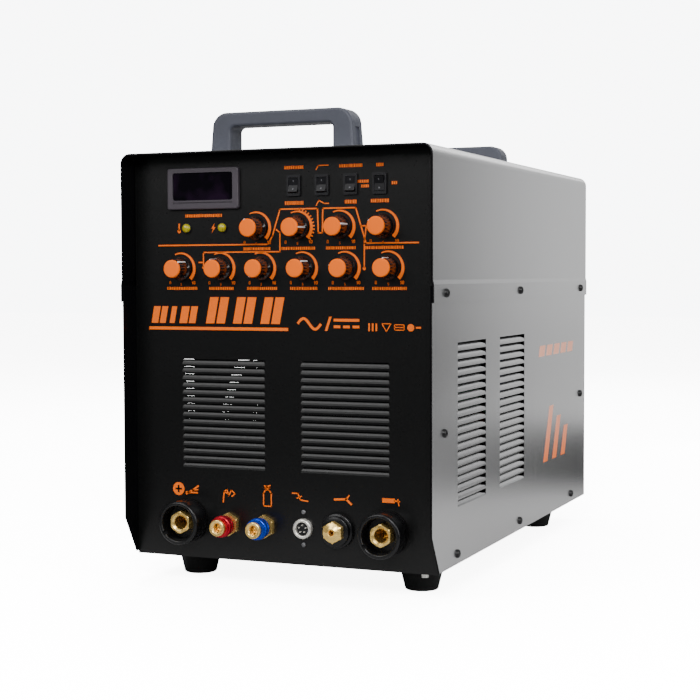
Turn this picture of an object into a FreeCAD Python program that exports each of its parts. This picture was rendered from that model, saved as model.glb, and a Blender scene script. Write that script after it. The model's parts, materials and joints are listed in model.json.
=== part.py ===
import FreeCAD, Part
import math
import os

# TIG welding machine. Millimetres. X is to the right seen from the front, Y runs from the front to the back
# and Z is up. The origin is on the floor, under the middle of the whole machine.

# ---- driving dimensions ----
CASE_W = 320.0          # over the side panels
CASE_H = 391.6          # side panel's lower edge to the top of the cover
CASE_D = 564.0          # front edge to rear edge of the casing
CASE_Z = 28.4           # side panel's lower edge above the floor
SHEET = 1.5             # panels
COVER_SHEET = 1.8       # top cover
FRONT_RECESS = 24.0     # front panel behind the casing's front edge
REAR_RECESS = 16.0      # rear panel inside the casing's rear edge
ARRIS_R = 1.0           # rounding of the casing's outer front edge
FLANGE = 20.0           # turned-back edges of the front and rear panels

FRONT_Y = -CASE_D / 2
REAR_Y = CASE_D / 2
FACE_Y = FRONT_Y + FRONT_RECESS      # front panel's outer face
BACK_Y = REAR_Y - REAR_RECESS        # rear panel's outer face
TOP_Z = CASE_Z + CASE_H
SIDE_X = CASE_W / 2
INNER_X = SIDE_X - SHEET

PAN_Z = 29.0                         # base pan's underside
PAN_TOP = PAN_Z + SHEET
PANEL_LOW_Z = 26.0                   # front panel's lower edge
PANEL_TOP_Z = TOP_Z - COVER_SHEET - 0.2

COVER_X = SIDE_X + 1.0               # cover's outer face above the lap strip
LAP_X = SIDE_X + 2.0                 # lap strip's outer face
LAP_LOW_Z = 276.5
LAP_TOP_Z = 293.2
LAP_JOG = 4.0                        # height of the step between the lap strip and the cover
COVER_R = 10.0                       # cover's outer corner radius

# side screws as distances from the front edge and heights above the floor
FRONT_SCREW_Y = FRONT_Y + 34.0
REAR_SCREW_Y = REAR_Y - 25.0
LOW_SCREW_Z = 38.5
MID_SCREW_Z = 156.2
LAP_SCREW_Z = 285.2
SIDE_SCREWS = [
    (FRONT_SCREW_Y, MID_SCREW_Z), (REAR_SCREW_Y, MID_SCREW_Z),
    (FRONT_Y + 71.0, LOW_SCREW_Z), (FRONT_Y + 279.5, LOW_SCREW_Z), (FRONT_Y + 497.0, LOW_SCREW_Z),
]
LAP_SCREWS = [
    (FRONT_SCREW_Y, LAP_SCREW_Z), (FRONT_Y + 274.5, LAP_SCREW_Z), (REAR_Y - 31.0, LAP_SCREW_Z),
]
SCREW_R = 1.9
SCREW_HOLE_R = 2.1
SCREW_HEAD_R = 4.2
SCREW_HEAD_H = 2.8

# louvres: start and width of each column, then height of the lowest, pitch, count, the flat strip left between
# two, how far a slat rises and how far it leans into the casing
SIDE_LOUVRES = [(FRONT_Y + 72.5, 87.5), (FRONT_Y + 207.0, 89.5)]
SIDE_LOUVRE_Z = 82.5
SIDE_LOUVRE_PITCH = 7.85
SIDE_LOUVRE_COUNT = 20
SIDE_LOUVRE_WEB = 1.4
SIDE_SLAT = (4.8, 2.4)
SIDE_CLIP = (20.0, 3.2)               # corner cut off the rear end of a slat's top edge: length, height
FRONT_LOUVRES = [(-107.4, 89.3), (19.7, 90.0)]
FRONT_LOUVRE_Z = 114.5
FRONT_LOUVRE_PITCH = 7.2
FRONT_LOUVRE_COUNT = 15
FRONT_LOUVRE_WEB = 2.0
FRONT_SLAT = (4.95, 2.3)
FRONT_END = 2.6                      # length of the sloping wall that closes each end of a slat

# front panel: knobs, switches, meter, lamps
KNOB_PITCH = 43.35
KNOB_ROW_1 = (103.9, 346.8, 4)       # x of the last knob, z, count
KNOB_ROW_2 = (109.0, 308.4, 6)
KNOB_POINTERS = (119.5, 0.0, 15.0, 146.0, 45.0, 106.0, 240.0, 45.0, 164.0, 82.0)
KNOB_GAP = 0.8                       # skirt's clearance from the panel
KNOB_SKIRT_R = 11.4
KNOB_BODY_R = 9.3
KNOB_CAP_R = 8.6
KNOB_LENGTH = 20.0
SHAFT_R = 3.0
FIT = 0.05                           # radial clearance of running fits

ROCKER_Z = 386.3
ROCKER_XS = (13.9, 42.9, 71.9, 100.9)
ROCKER_W = 14.0                      # bezel
ROCKER_H = 19.8
ROCKER_TILT = 10.0
ROCKER_R = 7.0                       # the rocker stays inside this radius of its pivot
ROCKER_PIVOT_Y = FACE_Y - 0.5

METER_X = -81.8
METER_Z = 385.7
METER_W = 77.2
METER_H = 39.9
METER_PROUD = 4.0
WINDOW_W = 65.0
WINDOW_H = 26.8
WINDOW_RISE = 2.1                    # window's centre above the bezel's centre

LAMP_XS = (-100.9, -62.0)
LAMP_Z = 347.7
LAMP_R = 5.0

# front panel: connections
DINSE_XS = (-101.9, 107.3)
DINSE_Z = 62.1
DINSE_R = 21.2
DINSE_CUP_R = 17.0
DINSE_PROUD = 23.0
DINSE_BORE_R = 6.5
DINSE_KEY_AT = 215.0                 # angle of the key slot in the cup's rim
COUPLER_XS = (-57.2, -19.0)
COUPLER_Z = 60.7
COUPLER_PROUD = 27.0
COUPLER_BORE_R = 4.0
CONTROL_X = 22.2
CONTROL_Z = 61.3
CONTROL_R = 9.65
TORCH_X = 57.6
TORCH_Z = 61.5

# rear panel
FAN_X = 0.0
FAN_Z = 114.0
FAN_SIZE = 120.0
FAN_DEPTH = 38.0
FAN_HOLE_PITCH = 105.0
FAN_BORE_R = 57.5
REAR_ROW_Z = 337.0
BREAKER_X = 95.0
GLAND_X = 35.0
GAS_X = -120.0
BREAKER_PIVOT_Y = BACK_Y + 2.0
LEVER_TILT = 35.0

# handles and feet
HANDLE_W = 149.4
HANDLE_H = 37.8
HANDLE_D = 27.0
HANDLE_LEG = 21.4
HANDLE_BAR = 13.4
HANDLE_YS = (FRONT_Y + 37.5, REAR_Y - 54.0)
FOOT_X = 120.2
FOOT_YS = (FRONT_Y + 82.5, FRONT_Y + 481.0)
FOOT_TOP_R = 23.2
FOOT_LOW_R = 16.0
EARTH_BOLT = (140.5, FACE_Y + 11.0)  # earth bolt under the right front corner

# inside
SINK_Y = (30.0, 190.0)
SINK_TOP_Z = 152.0
SINK_W = 105.0
FIN = 3.0
FIN_COUNT = 10
BOARD = 1.6
CORE = (-50.0, 50.0, -175.0, -105.0)
SOLENOID_Y = (BACK_Y - 75.0, BACK_Y - 18.0)

Y_AXIS = FreeCAD.Vector(0, 1, 0)
X_AXIS = FreeCAD.Vector(1, 0, 0)
Z_AXIS = FreeCAD.Vector(0, 0, 1)


def vec(x, y, z):
    return FreeCAD.Vector(x, y, z)


# ---- small makers ----
def box(x0, x1, y0, y1, z0, z1):
    return Part.makeBox(x1 - x0, y1 - y0, z1 - z0, vec(x0, y0, z0))


def rod_y(x, z, r, y0, y1):
    """Cylinder along Y."""
    return Part.makeCylinder(r, y1 - y0, vec(x, y0, z), Y_AXIS)


def rod_x(y, z, r, x0, x1):
    return Part.makeCylinder(r, x1 - x0, vec(x0, y, z), X_AXIS)


def rod_z(x, y, r, z0, z1):
    return Part.makeCylinder(r, z1 - z0, vec(x, y, z0), Z_AXIS)


def polygon(points):
    """Face bounded by straight lines through the points."""
    return Part.Face(Part.makePolygon(points + [points[0]]))


def turned_y(x, z, base_y, out, profile):
    """Solid of revolution about an axis along Y. profile lists (radius, distance from base_y) round the
    section, and out is -1 for a piece that stands out of the front or +1 out of the rear."""
    points = []
    for radius, reach in profile:
        points.append(vec(x + radius, base_y + out * reach, z))
    return polygon(points).revolve(vec(x, base_y, z), Y_AXIS, 360)


def hexagon_y(x, z, across_flats, y0, y1, turn=0.0):
    corner = across_flats / math.sqrt(3)
    points = []
    for i in range(6):
        a = math.radians(60 * i + turn)
        points.append(vec(x + corner * math.cos(a), y0, z + corner * math.sin(a)))
    return polygon(points).extrude(vec(0, y1 - y0, 0))


def rounded_plate_y(x, z, width, height, radius, y0, y1):
    """Plate in the XZ plane with rounded corners, extruded along Y."""
    plate = box(x - width / 2, x + width / 2, y0, y1, z - height / 2, z + height / 2)
    edges = [e for e in plate.Edges if abs(e.tangentAt(e.FirstParameter).y) > 0.99]
    return plate.makeFillet(radius, edges)


def cut_all(shape, tools):
    return shape.cut(Part.makeCompound(tools))


def fuse_all(shape, others):
    return shape.fuse(others).removeSplitter()


def mirror_x(shape):
    return shape.mirror(vec(0, 0, 0), X_AXIS)


def knob_places():
    """(x, z) of the ten knobs, row by row from the left."""
    places = []
    for last_x, z, count in (KNOB_ROW_1, KNOB_ROW_2):
        for i in range(count):
            places.append((last_x - KNOB_PITCH * (count - 1 - i), z))
    return places


# ---- louvres ----
def sheet_point(along, at, depth_place, z):
    """Point on a panel: at runs along the panel and depth_place is the coordinate across its thickness."""
    if along == "x":
        return vec(at, depth_place, z)
    return vec(depth_place, at, z)


def louvre_slot(along, start, width, z0, height, outer):
    """Cutter for the opening that one slat is lanced from."""
    outline = []
    for at, z in ((start, z0), (start + width, z0), (start + width, z0 + height), (start, z0 + height)):
        outline.append(sheet_point(along, at, outer - 3.0, z))
    return polygon(outline).extrude(sheet_point(along, 0.0, 6.0, 0.0))


def louvre_slat(along, start, width, z0, slat, outer, inward):
    """One slat: hinged on the sheet's outer face at z0 and curving inward towards its top edge.
    inward is the unit step into the casing along the sheet's normal."""
    rise, depth = slat
    section = [
        (0.0, -0.8), (0.0, 0.0), (0.16 * depth, 0.36 * rise), (0.5 * depth, 0.71 * rise), (depth, rise),
        (depth + 0.9, rise - 0.5), (SHEET, -0.3), (SHEET, -0.8),
    ]
    points = [sheet_point(along, start, outer + inward * d, z0 + z) for d, z in section]
    return polygon(points).extrude(sheet_point(along, width, 0.0, 0.0))


def louvre_end(along, at, step, z0, height, slat, outer, inward):
    """Sloping wall that closes one end of a slat, from the sheet to the slat's top edge a step further in."""
    rise, depth = slat
    points = [
        sheet_point(along, at, outer + inward * 0.2, z0),
        sheet_point(along, at, outer + inward * 0.2, z0 + height),
        sheet_point(along, at + step, outer + inward * depth, z0 + rise),
    ]
    return polygon(points).extrude(sheet_point(along, math.copysign(1.0, -step), 0.0, 0.0))


def clipped_slat(slat_solid, along, end, z_top, outer):
    """Slat with the corner at the end of its top edge cut off."""
    length, height = SIDE_CLIP
    outline = []
    corners = (
        (end - length, z_top), (end + 1, z_top - height), (end + 1, z_top + 2), (end - length, z_top + 2),
    )
    for at, z in corners:
        outline.append(sheet_point(along, at, outer - 12.0, z))
    return slat_solid.cut(polygon(outline).extrude(sheet_point(along, 0.0, 24.0, 0.0)))


def with_louvres(sheet, slots, slats):
    return cut_all(sheet, slots).fuse(slats)


def side_louvres():
    slots = []
    slats = []
    height = SIDE_LOUVRE_PITCH - SIDE_LOUVRE_WEB
    for start, width in SIDE_LOUVRES:
        for i in range(SIDE_LOUVRE_COUNT):
            z0 = SIDE_LOUVRE_Z + SIDE_LOUVRE_PITCH * i
            slots.append(louvre_slot("y", start, width, z0, height, SIDE_X))
            slat = louvre_slat("y", start, width, z0, SIDE_SLAT, SIDE_X, -1)
            slats.append(clipped_slat(slat, "y", start + width, z0 + SIDE_SLAT[0], SIDE_X))
    return slots, slats


def front_louvres():
    slots = []
    slats = []
    height = FRONT_LOUVRE_PITCH - FRONT_LOUVRE_WEB
    for start, width in FRONT_LOUVRES:
        for i in range(FRONT_LOUVRE_COUNT):
            z0 = FRONT_LOUVRE_Z + FRONT_LOUVRE_PITCH * i
            slots.append(louvre_slot("x", start, width, z0, height, FACE_Y))
            slats.append(louvre_slat("x", start, width, z0, FRONT_SLAT, FACE_Y, 1))
            slats.append(louvre_end("x", start, FRONT_END, z0, height, FRONT_SLAT, FACE_Y, 1))
            slats.append(louvre_end("x", start + width, -FRONT_END, z0, height, FRONT_SLAT, FACE_Y, 1))
    return slots, slats


# ---- casing ----
def base_pan():
    y0 = FACE_Y + SHEET
    y1 = BACK_Y - SHEET
    wall_y0 = y0 + FLANGE + 2
    wall_y1 = y1 - FLANGE - 2
    floor = box(-INNER_X, INNER_X, y0, y1, PAN_Z, PAN_TOP)
    walls = []
    for side in (-1, 1):
        x0, x1 = sorted((side * INNER_X, side * (INNER_X - SHEET)))
        walls.append(box(x0, x1, wall_y0, wall_y1, PAN_TOP, 59.0))
    pan = fuse_all(floor, walls)
    holes = []
    for x in (-FOOT_X, FOOT_X):
        for y in FOOT_YS:
            holes.append(rod_z(x, y, 2.7, PAN_Z - 1, PAN_TOP + 1))
    x, y = EARTH_BOLT
    holes.append(rod_z(x, y, 2.7, PAN_Z - 1, PAN_TOP + 1))
    for y, z in SIDE_SCREWS:
        if z == LOW_SCREW_Z:
            holes.append(rod_x(y, z, SCREW_HOLE_R, -SIDE_X, SIDE_X))
    return cut_all(pan, holes)


def end_panel(outer_y, inward, low_z):
    """Upright panel with turned edges: outer_y is its outer face and inward points into the casing."""
    inner_y = outer_y + inward * SHEET
    far_y = inner_y + inward * FLANGE
    y0, y1 = sorted((outer_y, inner_y))
    plate = box(-INNER_X, INNER_X, y0, y1, low_z, PANEL_TOP_Z)
    corners = []
    for e in plate.Edges:
        if abs(e.tangentAt(e.FirstParameter).y) > 0.99 and e.CenterOfMass.z > PANEL_TOP_Z - 1:
            corners.append(e)
    plate = plate.makeFillet(10.0, corners)
    f0, f1 = sorted((inner_y, far_y))
    flanges = [
        box(-INNER_X + 14, INNER_X - 14, f0, f1, PANEL_TOP_Z - SHEET, PANEL_TOP_Z),
        box(-INNER_X + 4, INNER_X - 4, f0, f1, PAN_TOP, PAN_TOP + SHEET),
    ]
    for side in (-1, 1):
        x0, x1 = sorted((side * INNER_X, side * (INNER_X - SHEET)))
        flanges.append(box(x0, x1, f0, f1, PAN_TOP + 4, PANEL_TOP_Z - 14))
    return fuse_all(plate, flanges)


def side_screw_holes(front):
    holes = []
    for y, z in SIDE_SCREWS + LAP_SCREWS:
        if (y < 0) == front and z != LOW_SCREW_Z:
            holes.append(rod_x(y, z, SCREW_HOLE_R, -SIDE_X, SIDE_X))
    return holes


def front_panel():
    panel = end_panel(FACE_Y, 1, PANEL_LOW_Z)
    y0 = FACE_Y - 1
    y1 = FACE_Y + SHEET + 1
    holes = side_screw_holes(True)
    for side in (-1, 1):
        x = side * (HANDLE_W - HANDLE_LEG) / 2
        holes.append(rod_z(x, HANDLE_YS[0], 3.2, PANEL_TOP_Z - 4, PANEL_TOP_Z + 1))
    for x, z in knob_places():
        holes.append(rod_y(x, z, 3.7, y0, y1))
    for x in ROCKER_XS:
        holes.append(box(x - 6.4, x + 6.4, y0, y1, ROCKER_Z - 8.8, ROCKER_Z + 8.8))
    holes.append(box(METER_X - 36.7, METER_X + 36.7, y0, y1, METER_Z - 18.2, METER_Z + 18.2))
    for x in LAMP_XS:
        holes.append(rod_y(x, LAMP_Z, 4.1, y0, y1))
    for x in DINSE_XS:
        holes.append(rod_y(x, DINSE_Z, 14.2, y0, y1))
    for x in COUPLER_XS:
        holes.append(rod_y(x, COUPLER_Z, 5.2, y0, y1))
    holes.append(rod_y(CONTROL_X, CONTROL_Z, 8.1, y0, y1))
    holes.append(rod_y(TORCH_X, TORCH_Z, 8.2, y0, y1))
    x, y = EARTH_BOLT
    holes.append(rod_z(x, y, 2.7, PAN_TOP - 1, PAN_TOP + SHEET + 1))
    return with_louvres(cut_all(panel, holes), *front_louvres())


def rear_panel():
    panel = end_panel(BACK_Y, -1, PAN_Z)
    y0 = BACK_Y - SHEET - 1
    y1 = BACK_Y + 1
    half = FAN_HOLE_PITCH / 2
    holes = side_screw_holes(False)
    holes.append(rod_y(FAN_X, FAN_Z, FAN_BORE_R, y0, y1))
    for x in (FAN_X - half, FAN_X + half):
        for z in (FAN_Z - half, FAN_Z + half):
            holes.append(rod_y(x, z, 2.2, y0, y1))
    holes.append(box(BREAKER_X - 18.2, BREAKER_X + 18.2, y0, y1, REAR_ROW_Z - 23.2, REAR_ROW_Z + 23.2))
    holes.append(rod_y(GLAND_X, REAR_ROW_Z, 10.1, y0, y1))
    holes.append(rod_y(GAS_X, REAR_ROW_Z, 6.2, y0, y1))
    return cut_all(panel, holes)


def right_side_panel():
    """Lower side sheet. Its front lower corner is cut off towards the front panel, and the outer arris of its
    front edge is rounded."""
    z_top = LAP_TOP_Z - 1.2
    outline = [
        vec(INNER_X, FRONT_Y, CASE_Z + 36.2), vec(INNER_X, FRONT_Y, z_top), vec(INNER_X, REAR_Y, z_top),
        vec(INNER_X, REAR_Y, CASE_Z), vec(INNER_X, FRONT_Y + 20.5, CASE_Z),
    ]
    sheet = polygon(outline).extrude(vec(SHEET, 0, 0))
    arris = []
    for e in sheet.Edges:
        at = e.CenterOfMass
        if at.x > SIDE_X - 0.01 and at.y < FRONT_Y + 15:
            arris.append(e)
    sheet = sheet.makeFillet(ARRIS_R, arris)
    holes = []
    for y, z in SIDE_SCREWS + LAP_SCREWS:
        holes.append(rod_x(y, z, SCREW_HOLE_R, INNER_X - 1, SIDE_X + 1))
    return with_louvres(cut_all(sheet, holes), *side_louvres())


def cover_edge(offset, corner_r):
    """Half of the cover's section line, offset inwards from its outer face, as edges from the lap strip's
    lower edge up to the middle of the top."""
    x_lap = LAP_X - offset
    x_side = COVER_X - offset
    z_top = TOP_Z - offset
    a = vec(x_lap, FRONT_Y, LAP_LOW_Z)
    b = vec(x_lap, FRONT_Y, LAP_TOP_Z)
    c = vec(x_side, FRONT_Y, LAP_TOP_Z + LAP_JOG)
    d = vec(x_side, FRONT_Y, z_top - corner_r)
    turn = math.sqrt(0.5) * corner_r
    mid = vec(x_side - corner_r + turn, FRONT_Y, z_top - corner_r + turn)
    e = vec(x_side - corner_r, FRONT_Y, z_top)
    f = vec(0, FRONT_Y, z_top)
    edges = [Part.makeLine(a, b), Part.makeLine(b, c), Part.makeLine(c, d)]
    edges.append(Part.Arc(d, mid, e).toShape())
    edges.append(Part.makeLine(e, f))
    return a, f, edges


def top_cover():
    a0, f0, outer = cover_edge(0.0, COVER_R)
    a1, f1, inner = cover_edge(COVER_SHEET, COVER_R - COVER_SHEET)
    loop = outer + [Part.makeLine(f0, f1)] + inner + [Part.makeLine(a1, a0)]
    half = Part.Face(Part.Wire(Part.sortEdges(loop)[0])).extrude(vec(0, CASE_D, 0))
    arris = []
    for e in half.Edges:
        on_front = abs(e.CenterOfMass.y - FRONT_Y) < 0.01
        if on_front and any(e.CenterOfMass.distanceToPoint(o.CenterOfMass) < 0.01 for o in outer):
            arris.append(e)
    half = half.makeFillet(ARRIS_R, arris)
    cover = half.fuse(mirror_x(half)).removeSplitter()
    holes = []
    for y, z in LAP_SCREWS:
        holes.append(rod_x(y, z, SCREW_HOLE_R, -LAP_X - 1, LAP_X + 1))
    for y in HANDLE_YS:
        for side in (-1, 1):
            holes.append(rod_z(side * (HANDLE_W - HANDLE_LEG) / 2, y, 3.2, TOP_Z - 4, TOP_Z + 1))
    return cut_all(cover, holes)


def handle(y):
    """Moulded carrying handle with a shallow groove round its outer edge."""
    half_w = HANDLE_W / 2
    z0 = TOP_Z
    z1 = TOP_Z + HANDLE_H
    y0 = y - HANDLE_D / 2

    def outline(inset, radius):
        w = half_w - inset
        top = z1 - inset
        lean = 2.0
        turn = math.sqrt(0.5) * radius
        a = vec(-w, y0, z0)
        b = vec(-w + lean, y0, top - radius)
        m1 = vec(-w + lean + radius - turn, y0, top - radius + turn)
        c = vec(-w + lean + radius, y0, top)
        d = vec(w - lean - radius, y0, top)
        m2 = vec(w - lean - radius + turn, y0, top - radius + turn)
        e = vec(w - lean, y0, top - radius)
        f = vec(w, y0, z0)
        edges = [Part.makeLine(a, b), Part.Arc(b, m1, c).toShape(), Part.makeLine(c, d)]
        edges += [Part.Arc(d, m2, e).toShape(), Part.makeLine(e, f), Part.makeLine(f, a)]
        return Part.Face(Part.Wire(edges))

    radius = 15.0
    body = outline(0.0, radius).extrude(vec(0, HANDLE_D, 0))
    gap_w = HANDLE_W - 2 * HANDLE_LEG
    gap = box(-gap_w / 2, gap_w / 2, y0 - 1, y0 + HANDLE_D + 1, z0 - 12, z1 - HANDLE_BAR)
    gap_edges = [e for e in gap.Edges if abs(e.tangentAt(e.FirstParameter).y) > 0.99]
    body = body.cut(gap.makeFillet(5.0, gap_edges))
    long_edges = []
    for e in body.Edges:
        on_side = abs(e.CenterOfMass.y - y0) < 0.01 or abs(e.CenterOfMass.y - y0 - HANDLE_D) < 0.01
        if on_side and e.CenterOfMass.z > z0 + 0.1:
            long_edges.append(e)
    body = body.makeFillet(2.5, long_edges)
    groove_w = 9.0
    groove_y = vec(0, (HANDLE_D - groove_w) / 2, 0)
    groove = outline(-1.0, radius + 1.0).extrude(vec(0, groove_w, 0))
    groove = groove.cut(outline(1.6, radius - 1.6).extrude(vec(0, groove_w, 0)))
    groove.translate(groove_y)
    below_bar = box(-half_w - 2, half_w + 2, y0, y0 + HANDLE_D, z0 - 1, z1 - HANDLE_BAR - 4)
    body = body.cut(groove.common(below_bar))
    screws = []
    for side in (-1, 1):
        screws.append(rod_z(side * (HANDLE_W - HANDLE_LEG) / 2, y, 3.0, z0 - 1, z0 + 16))
    return cut_all(body, screws)


def rubber_feet():
    feet = []
    for x in (-FOOT_X, FOOT_X):
        for y in FOOT_YS:
            foot = Part.makeCone(FOOT_LOW_R, FOOT_TOP_R, PAN_Z, vec(x, y, 0), Z_AXIS)
            low_edge = [e for e in foot.Edges if e.CenterOfMass.z < 0.1 and e.Length > 1 and e.Closed]
            foot = foot.makeFillet(2.0, low_edge)
            foot = foot.cut(rod_z(x, y, 7.0, -1, 9.0))
            foot = foot.cut(rod_z(x, y, 2.7, 8.0, PAN_Z + 1))
            feet.append(foot)
    return Part.makeCompound(feet)


# ---- fasteners ----
def case_screw(y, z, seat_x, reach):
    """Pan head screw in the right side, its head on seat_x, with a crossed recess."""
    head = Part.makeCylinder(SCREW_HEAD_R, SCREW_HEAD_H, vec(seat_x, y, z), X_AXIS)
    outer = [e for e in head.Edges if e.Closed and e.CenterOfMass.x > seat_x + 2]
    head = head.makeFillet(2.3, outer)
    shank = rod_x(y, z, SCREW_R, seat_x - reach, seat_x + 0.5)
    screw = head.fuse(shank)
    slot_x = seat_x + 1.6
    screw = screw.cut(box(slot_x, slot_x + 2, y - 2.0, y + 2.0, z - 0.5, z + 0.5))
    return screw.cut(box(slot_x, slot_x + 2, y - 0.5, y + 0.5, z - 2.0, z + 2.0))


def fan_screws():
    screws = []
    half = FAN_HOLE_PITCH / 2
    for x in (FAN_X - half, FAN_X + half):
        for z in (FAN_Z - half, FAN_Z + half):
            head = turned_y(x, z, BACK_Y + 2.4, 1, [(0, 0), (4.0, 0), (4.0, 0.9), (2.8, 2.3), (0, 2.6)])
            shank = rod_y(x, z, SCREW_R, BACK_Y - SHEET - FAN_DEPTH, BACK_Y + 2.9)
            slot = box(x - 2.2, x + 2.2, BACK_Y + 4.0, BACK_Y + 6, z - 0.5, z + 0.5)
            screws.append(head.fuse(shank).cut(slot))
    return screws


def case_screws():
    """Screws of the side panels, the cover and the fan."""
    screws = fan_screws()
    for places, seat_x in ((SIDE_SCREWS, SIDE_X), (LAP_SCREWS, LAP_X)):
        for y, z in places:
            screw = case_screw(y, z, seat_x, 8.0)
            screws.append(screw)
            screws.append(mirror_x(screw))
    return Part.makeCompound(screws)


def chassis_bolts():
    """M6 bolts up into the handles, M5 bolts that hold the feet and the M5 earth bolt. The front handle's bolts
    also go through the front panel's top flange."""
    x, y = EARTH_BOLT
    earth = rod_z(x, y, 3.4, PAN_Z - 7.8, PAN_Z - 2.4)
    washer = rod_z(x, y, 5.5, PAN_Z - 2.4, PAN_Z)
    shank = rod_z(x, y, 2.5, PAN_Z - 3, PAN_TOP + SHEET + 6)
    nut = rod_z(x, y, 4.6, PAN_TOP + SHEET, PAN_TOP + SHEET + 4)
    bolts = [fuse_all(earth, [washer, shank, nut])]
    for y in HANDLE_YS:
        for side in (-1, 1):
            x = side * (HANDLE_W - HANDLE_LEG) / 2
            under = PANEL_TOP_Z - SHEET if y < 0 else TOP_Z - COVER_SHEET
            head = rod_z(x, y, 5.5, under - 4.0, under)
            bolts.append(head.fuse(rod_z(x, y, 2.9, under - 2.0, TOP_Z + 14)))
    for x in (-FOOT_X, FOOT_X):
        for y in FOOT_YS:
            head = rod_z(x, y, 5.0, 5.5, 9.0)
            bolt = head.fuse(rod_z(x, y, 2.5, 8.0, PAN_TOP + 8))
            nut = rod_z(x, y, 5.0, PAN_TOP, PAN_TOP + 5)
            bolts.append(bolt.fuse(nut))
    return Part.makeCompound(bolts)


# ---- meter and lamps ----
def window_centre_z():
    return METER_Z + WINDOW_RISE


def display_bezel():
    front = rounded_plate_y(METER_X, METER_Z, METER_W, METER_H, 2.5, FACE_Y - METER_PROUD, FACE_Y)
    rim = [e for e in front.Edges if abs(e.CenterOfMass.y - (FACE_Y - METER_PROUD)) < 0.01]
    front = front.makeFillet(1.2, rim)
    depth = 24.0
    case = box(METER_X - 36.5, METER_X + 36.5, FACE_Y - 1, FACE_Y + depth, METER_Z - 18, METER_Z + 18)
    body = front.fuse(case)
    hollow = box(METER_X - 34.5, METER_X + 34.5, FACE_Y + 1.0, FACE_Y + depth + 1,
                 METER_Z - 16, METER_Z + 16)
    mouth = rounded_plate_y(METER_X, window_centre_z(), WINDOW_W, WINDOW_H, 2.5,
                            FACE_Y - METER_PROUD - 1, FACE_Y + 2)
    ledge_z = METER_Z - METER_H / 2 + 5.2
    ledge = box(METER_X - WINDOW_W / 2, METER_X + WINDOW_W / 2, FACE_Y - METER_PROUD - 1,
                FACE_Y - METER_PROUD + 1.0, ledge_z, ledge_z + 1.6)
    return cut_all(body, [hollow, mouth, ledge]).removeSplitter()


def display_window():
    return rounded_plate_y(METER_X, window_centre_z(), WINDOW_W - 0.2, WINDOW_H - 0.2, 2.4,
                           FACE_Y - METER_PROUD + 1.2, FACE_Y + 1.0)


def indicator_lamps():
    lamps = []
    for x in LAMP_XS:
        lens = turned_y(x, LAMP_Z, FACE_Y, -1, [(0, 0), (LAMP_R, 0), (LAMP_R, 1.4), (4.3, 2.6), (2.6, 3.6),
                                                (0, 4.0)])
        lamps.append(lens.fuse(rod_y(x, LAMP_Z, 4.0, FACE_Y - 0.5, FACE_Y + 12)))
    return Part.makeCompound(lamps)


# ---- knobs and potentiometers ----
def knob(x, z, pointer):
    """Skirted knob with its coloured cap, its pointer line and the shaft that it turns."""
    profile = [
        (SHAFT_R, 5.0), (7.6, 5.0), (7.6, KNOB_GAP), (KNOB_SKIRT_R, KNOB_GAP), (KNOB_SKIRT_R, 2.4),
        (KNOB_BODY_R + 0.5, 4.6), (KNOB_BODY_R, 7.0), (KNOB_BODY_R - 0.2, KNOB_LENGTH - 2.2),
        (KNOB_CAP_R, KNOB_LENGTH - 2.2), (KNOB_CAP_R, KNOB_LENGTH - 4.0), (SHAFT_R, KNOB_LENGTH - 4.0),
    ]
    body = turned_y(x, z, FACE_Y, -1, profile)
    y_front = FACE_Y - KNOB_LENGTH + 2.2
    line = box(x + KNOB_BODY_R - 0.8, x + KNOB_BODY_R + 0.35, y_front, FACE_Y - 4.0, z - 0.7, z + 0.7)
    line.rotate(vec(x, FACE_Y, z), Y_AXIS, -pointer)
    body = body.fuse(line)
    cap_profile = [
        (0, KNOB_LENGTH - 4.0), (KNOB_CAP_R - 0.02, KNOB_LENGTH - 4.0), (KNOB_CAP_R - 0.02, KNOB_LENGTH - 0.7),
        (KNOB_CAP_R - 0.7, KNOB_LENGTH), (0, KNOB_LENGTH),
    ]
    cap = turned_y(x, z, FACE_Y, -1, cap_profile)
    shaft = rod_y(x, z, SHAFT_R - 0.02, FACE_Y - KNOB_LENGTH + 5.0, FACE_Y + 9.0)
    return Part.makeCompound([body, cap, shaft])


def potentiometers():
    pots = []
    for x, z in knob_places():
        back = FACE_Y + SHEET
        housing = rod_y(x, z, 8.0, back + 1.5, back + 11.0)
        shoulder = rod_y(x, z, 5.5, back, back + 2.0)
        bush = rod_y(x, z, 3.6, FACE_Y - 4.0, back + 1.0)
        nut = hexagon_y(x, z, 10.0, FACE_Y - 2.4, FACE_Y)
        pot = fuse_all(housing, [shoulder, bush, nut])
        pots.append(pot.cut(rod_y(x, z, SHAFT_R - 0.02 + FIT, FACE_Y - 5.0, FACE_Y + 9.4)))
    return Part.makeCompound(pots)


# ---- rocker switches ----
def rocker_frames():
    frames = []
    for x in ROCKER_XS:
        bezel = rounded_plate_y(x, ROCKER_Z, ROCKER_W, ROCKER_H, 1.0, FACE_Y - 2.0, FACE_Y)
        case = box(x - 6.3, x + 6.3, FACE_Y - 1.0, FACE_Y + 14.0, ROCKER_Z - 8.7, ROCKER_Z + 8.7)
        body = bezel.fuse(case)
        reach = ROCKER_R + 0.35
        well = box(x - 5.0, x + 5.0, FACE_Y - 3.0, ROCKER_PIVOT_Y + reach, ROCKER_Z - reach, ROCKER_Z + reach)
        pins = rod_x(ROCKER_PIVOT_Y, ROCKER_Z, 1.0 + FIT, x - 5.9, x + 5.9)
        frames.append(cut_all(body, [well, pins]).removeSplitter())
    return Part.makeCompound(frames)


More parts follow.
